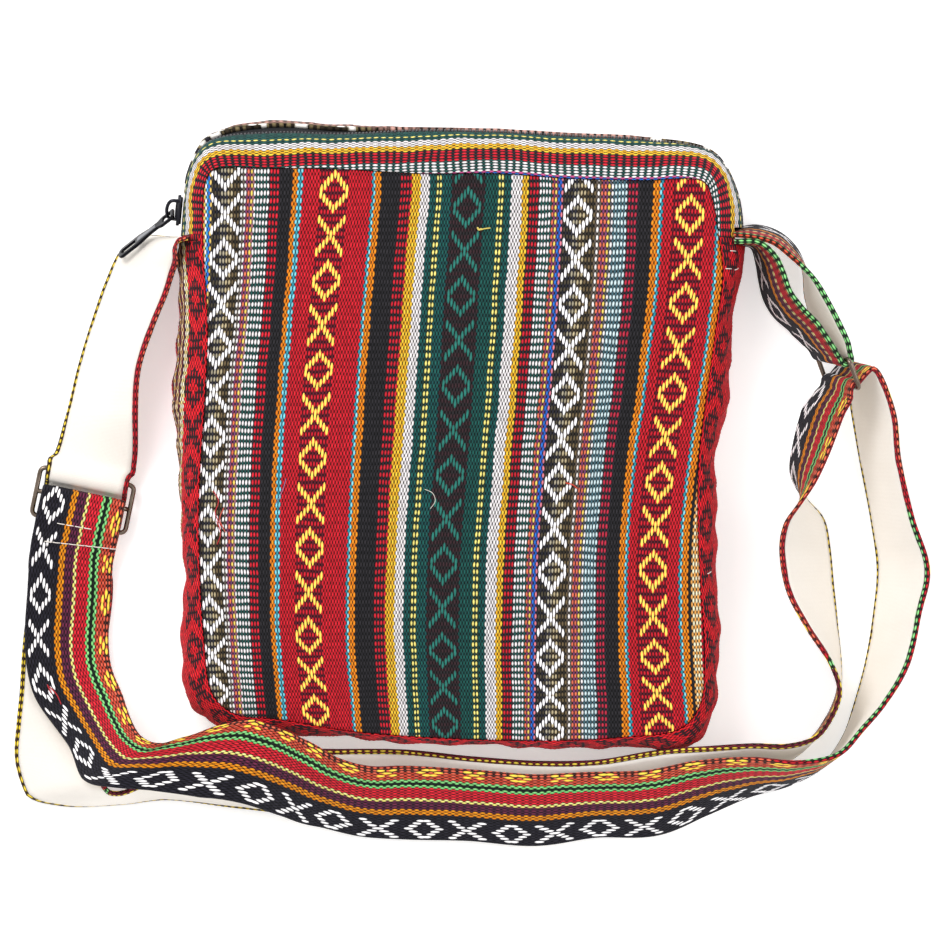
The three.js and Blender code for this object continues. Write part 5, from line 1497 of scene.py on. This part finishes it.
def drop_on(shape, spot):
    """Where a point of the picture plane falls on a piece from above, and which way the piece faces."""
    return shape.ray_cast(Vector((spot[0], spot[1], 0.2)), Vector((0, 0, -1)))[:2]


strap_shape, gusset_shape = cloth_shape(strap), cloth_shape(gusset)
stitch_points, stitch_ahead, stitch_up = [], [], []
for x0, y0, x1, y1, where in STITCH_ROWS:
    start, end = np.array([x0, y0]) / 1000, np.array([x1, y1]) / 1000
    count = max(1, int(np.linalg.norm(end - start) / (STITCH_LENGTH * 1.06)))
    for n in range(count):
        spot = start + (end - start) * (n + 0.5) / count
        hit, normal = drop_on(strap_shape if where == "strap" else gusset_shape, spot)
        if hit is None:
            continue
        up = np.array(normal)
        ahead = np.append(end - start, 0.0)
        stitch_points.append(np.array(hit) + up * 0.0001)
        stitch_ahead.append(unit(ahead - up * ahead.dot(up)))
        stitch_up.append(up)
bend = np.linspace(-1, 1, 9)
stitch_high = STITCH_RISE * (1 - bend ** 4) - STITCH_SINK
stitch_path = np.column_stack([bend * STITCH_LENGTH / 2, 0 * bend, stitch_high])
stitch_form = tube_mesh("stitch", [stitch_path], [STITCH_ROUND], sides=6)
sewing_thread = plain_tape("white_cotton_thread", "fbf8f4", "e6ddd2", 0.0004, 0.8, 0.00005)
stitches = placed_copies("hand_stitches", stitch_points, stitch_ahead, stitch_up, stitch_form,
                         sewing_thread)
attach(stitches, "bag")

# Loose threads: ends of the woven yarn that have worked out of the cloth, each held at one end and
# lying on the panel or the strap.
LOOSE_THREADS = [
    # points on the picture plane in millimetres, what they lie on, and how thick
    ((-108.5, -17.0, -106.2, -21.5, -107.6, -27.0, -104.9, -33.0), "panel", 0.00024, "c81f2d"),
    ((-107.0, -30.5, -105.2, -36.0, -106.8, -41.0), "panel", 0.00024, "c81f2d"),
    ((-103.8, -24.5, -105.6, -29.5, -103.2, -35.5), "panel", 0.00022, "e05a4a"),
    ((-14.0, -16.2, -10.4, -18.0, -9.2, -21.5, -11.4, -25.0), "panel", 0.00016, "efe9dc"),
    ((9.6, 100.3, 10.6, 99.6, 12.6, 100.0, 15.4, 100.4), "panel", 0.0003, "f4dc6a"),
    ((9.7, 100.5, 10.3, 99.6, 11.4, 100.0), "panel", 0.00045, "f4dc6a"),
    ((49.0, -13.4, 52.0, -14.2, 54.4, -16.0), "panel", 0.0003, "e2452f"),
    ((-80.6, -23.0, -77.4, -16.8, -75.8, -11.5), "panel", 0.00012, "9a96c8"),
    ((-183.6, -105.5, -180.4, -108.8, -178.2, -113.4), "strap", 0.00028, "c81f2d"),
    ((-184.6, -104.6, -182.8, -108.4), "strap", 0.00028, "c81f2d"),
]
panel_shape = cloth_shape(front_panel)


def dyed_yarn(name, colour):
    """Loose cotton yarn: its dyed colour, patchy along the thread, with a soft rough surface."""
    material, tree = bare_material(name)
    place = add(tree, "ShaderNodeTexCoord")
    patch = add(tree, "ShaderNodeTexNoise", {
        "Vector": place.outputs["Object"], "Scale": 1500.0, "Detail": 2.0})
    shade = [part * 0.55 for part in linear(colour)[:3]] + [1.0]
    tone = add(tree, "ShaderNodeMix", {0: patch.outputs[0], 6: shade, 7: linear(colour)},
               data_type="RGBA")
    surface = add(tree, "ShaderNodeBsdfPrincipled", {
        "Base Color": tone.outputs[2], "Roughness": 0.85, "Sheen Weight": 0.1})
    add(tree, "ShaderNodeOutputMaterial", {0: surface.outputs[0]})
    return material


yarns = {}
for n, (places, where, radius, colour) in enumerate(LOOSE_THREADS):
    places = np.array(places).reshape(-1, 2) / 1000
    line = smooth_curve(np.column_stack([places, 0 * places[:, :1]]), np.linspace(0, 1, 5 * len(places)))
    lying = []
    for share, spot in zip(np.linspace(0, 1, len(line)), line):
        hit, _ = drop_on(panel_shape if where == "panel" else strap_shape, spot)
        if hit is not None:
            lift = radius * 0.7 + 0.0006 * math.sin(math.pi * share) - 0.0003 * (share < 0.05)
            lying.append((hit[0], hit[1], hit[2] + lift))
    thread = tube_mesh(f"loose_thread_{n + 1}", [lying], [radius], sides=6)
    if colour not in yarns:
        yarns[colour] = dyed_yarn(f"dyed_yarn_{len(yarns) + 1}", colour)
    thread.data.materials.append(yarns[colour])
    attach(thread, "bag")

# Floor, light and camera: a white paper sweep, two soft boxes and an even sky, and a camera high above
# the bag that looks straight down. The paper is matt and glows a little, so it shows only a faint
# shadow, and plain colours are drawn as they are.
FLOOR_HALF = 3.0
FLOOR_HIGH = -0.0002
FLOOR_GLOW = 0.42
SKY_LIGHT = 0.84
CAMERA_FAR = 3.0
CAMERA_MIDDLE = (0.00855, -0.0099)
SENSOR_WIDTH = 36
PICTURE_WIDTH = 0.4275
PICTURE_HIGH = 0.02
floor = bpy.data.meshes.new("floor")
floor_corners = [(x * FLOOR_HALF, y * FLOOR_HALF, FLOOR_HIGH)
                 for x, y in ((-1, -1), (1, -1), (1, 1), (-1, 1))]
floor.from_pydata(floor_corners, [], [(0, 1, 2, 3)])
floor_piece = bpy.data.objects.new("floor", floor)
bpy.context.scene.collection.objects.link(floor_piece)
paper = bpy.data.materials.new("white_paper_sweep")
paper.use_nodes = True
for label, value in (("Base Color", linear("f6f6f6")), ("Roughness", 0.9),
                     ("Emission Color", (1, 1, 1, 1)), ("Emission Strength", FLOOR_GLOW)):
    paper.node_tree.nodes["Principled BSDF"].inputs[label].default_value = value
floor.materials.append(paper)

bpy.context.scene.view_settings.view_transform = "Standard"
world = bpy.data.worlds.new("studio")
world.use_nodes = True
world.node_tree.nodes["Background"].inputs[0].default_value = (1, 1, 1, 1)
world.node_tree.nodes["Background"].inputs[1].default_value = SKY_LIGHT
bpy.context.scene.world = world
for place, size, power in (((-0.9, 1.1, 1.6), 0.9, 22), ((1.3, 0.2, 1.5), 1.2, 8)):
    lamp = bpy.data.lights.new("soft_box", "AREA")
    lamp.size = size
    lamp.energy = power
    light = bpy.data.objects.new("soft_box", lamp)
    light.location = place
    light.rotation_euler = (-Vector(place)).to_track_quat("-Z", "Y").to_euler()
    bpy.context.scene.collection.objects.link(light)

lens = bpy.data.cameras.new("camera")
lens.sensor_width = SENSOR_WIDTH
lens.lens = SENSOR_WIDTH * (CAMERA_FAR - PICTURE_HIGH) / PICTURE_WIDTH
lens.clip_end = 20
camera = bpy.data.objects.new("camera", lens)
camera.location = (*CAMERA_MIDDLE, CAMERA_FAR)
bpy.context.scene.collection.objects.link(camera)
bpy.context.scene.camera = camera
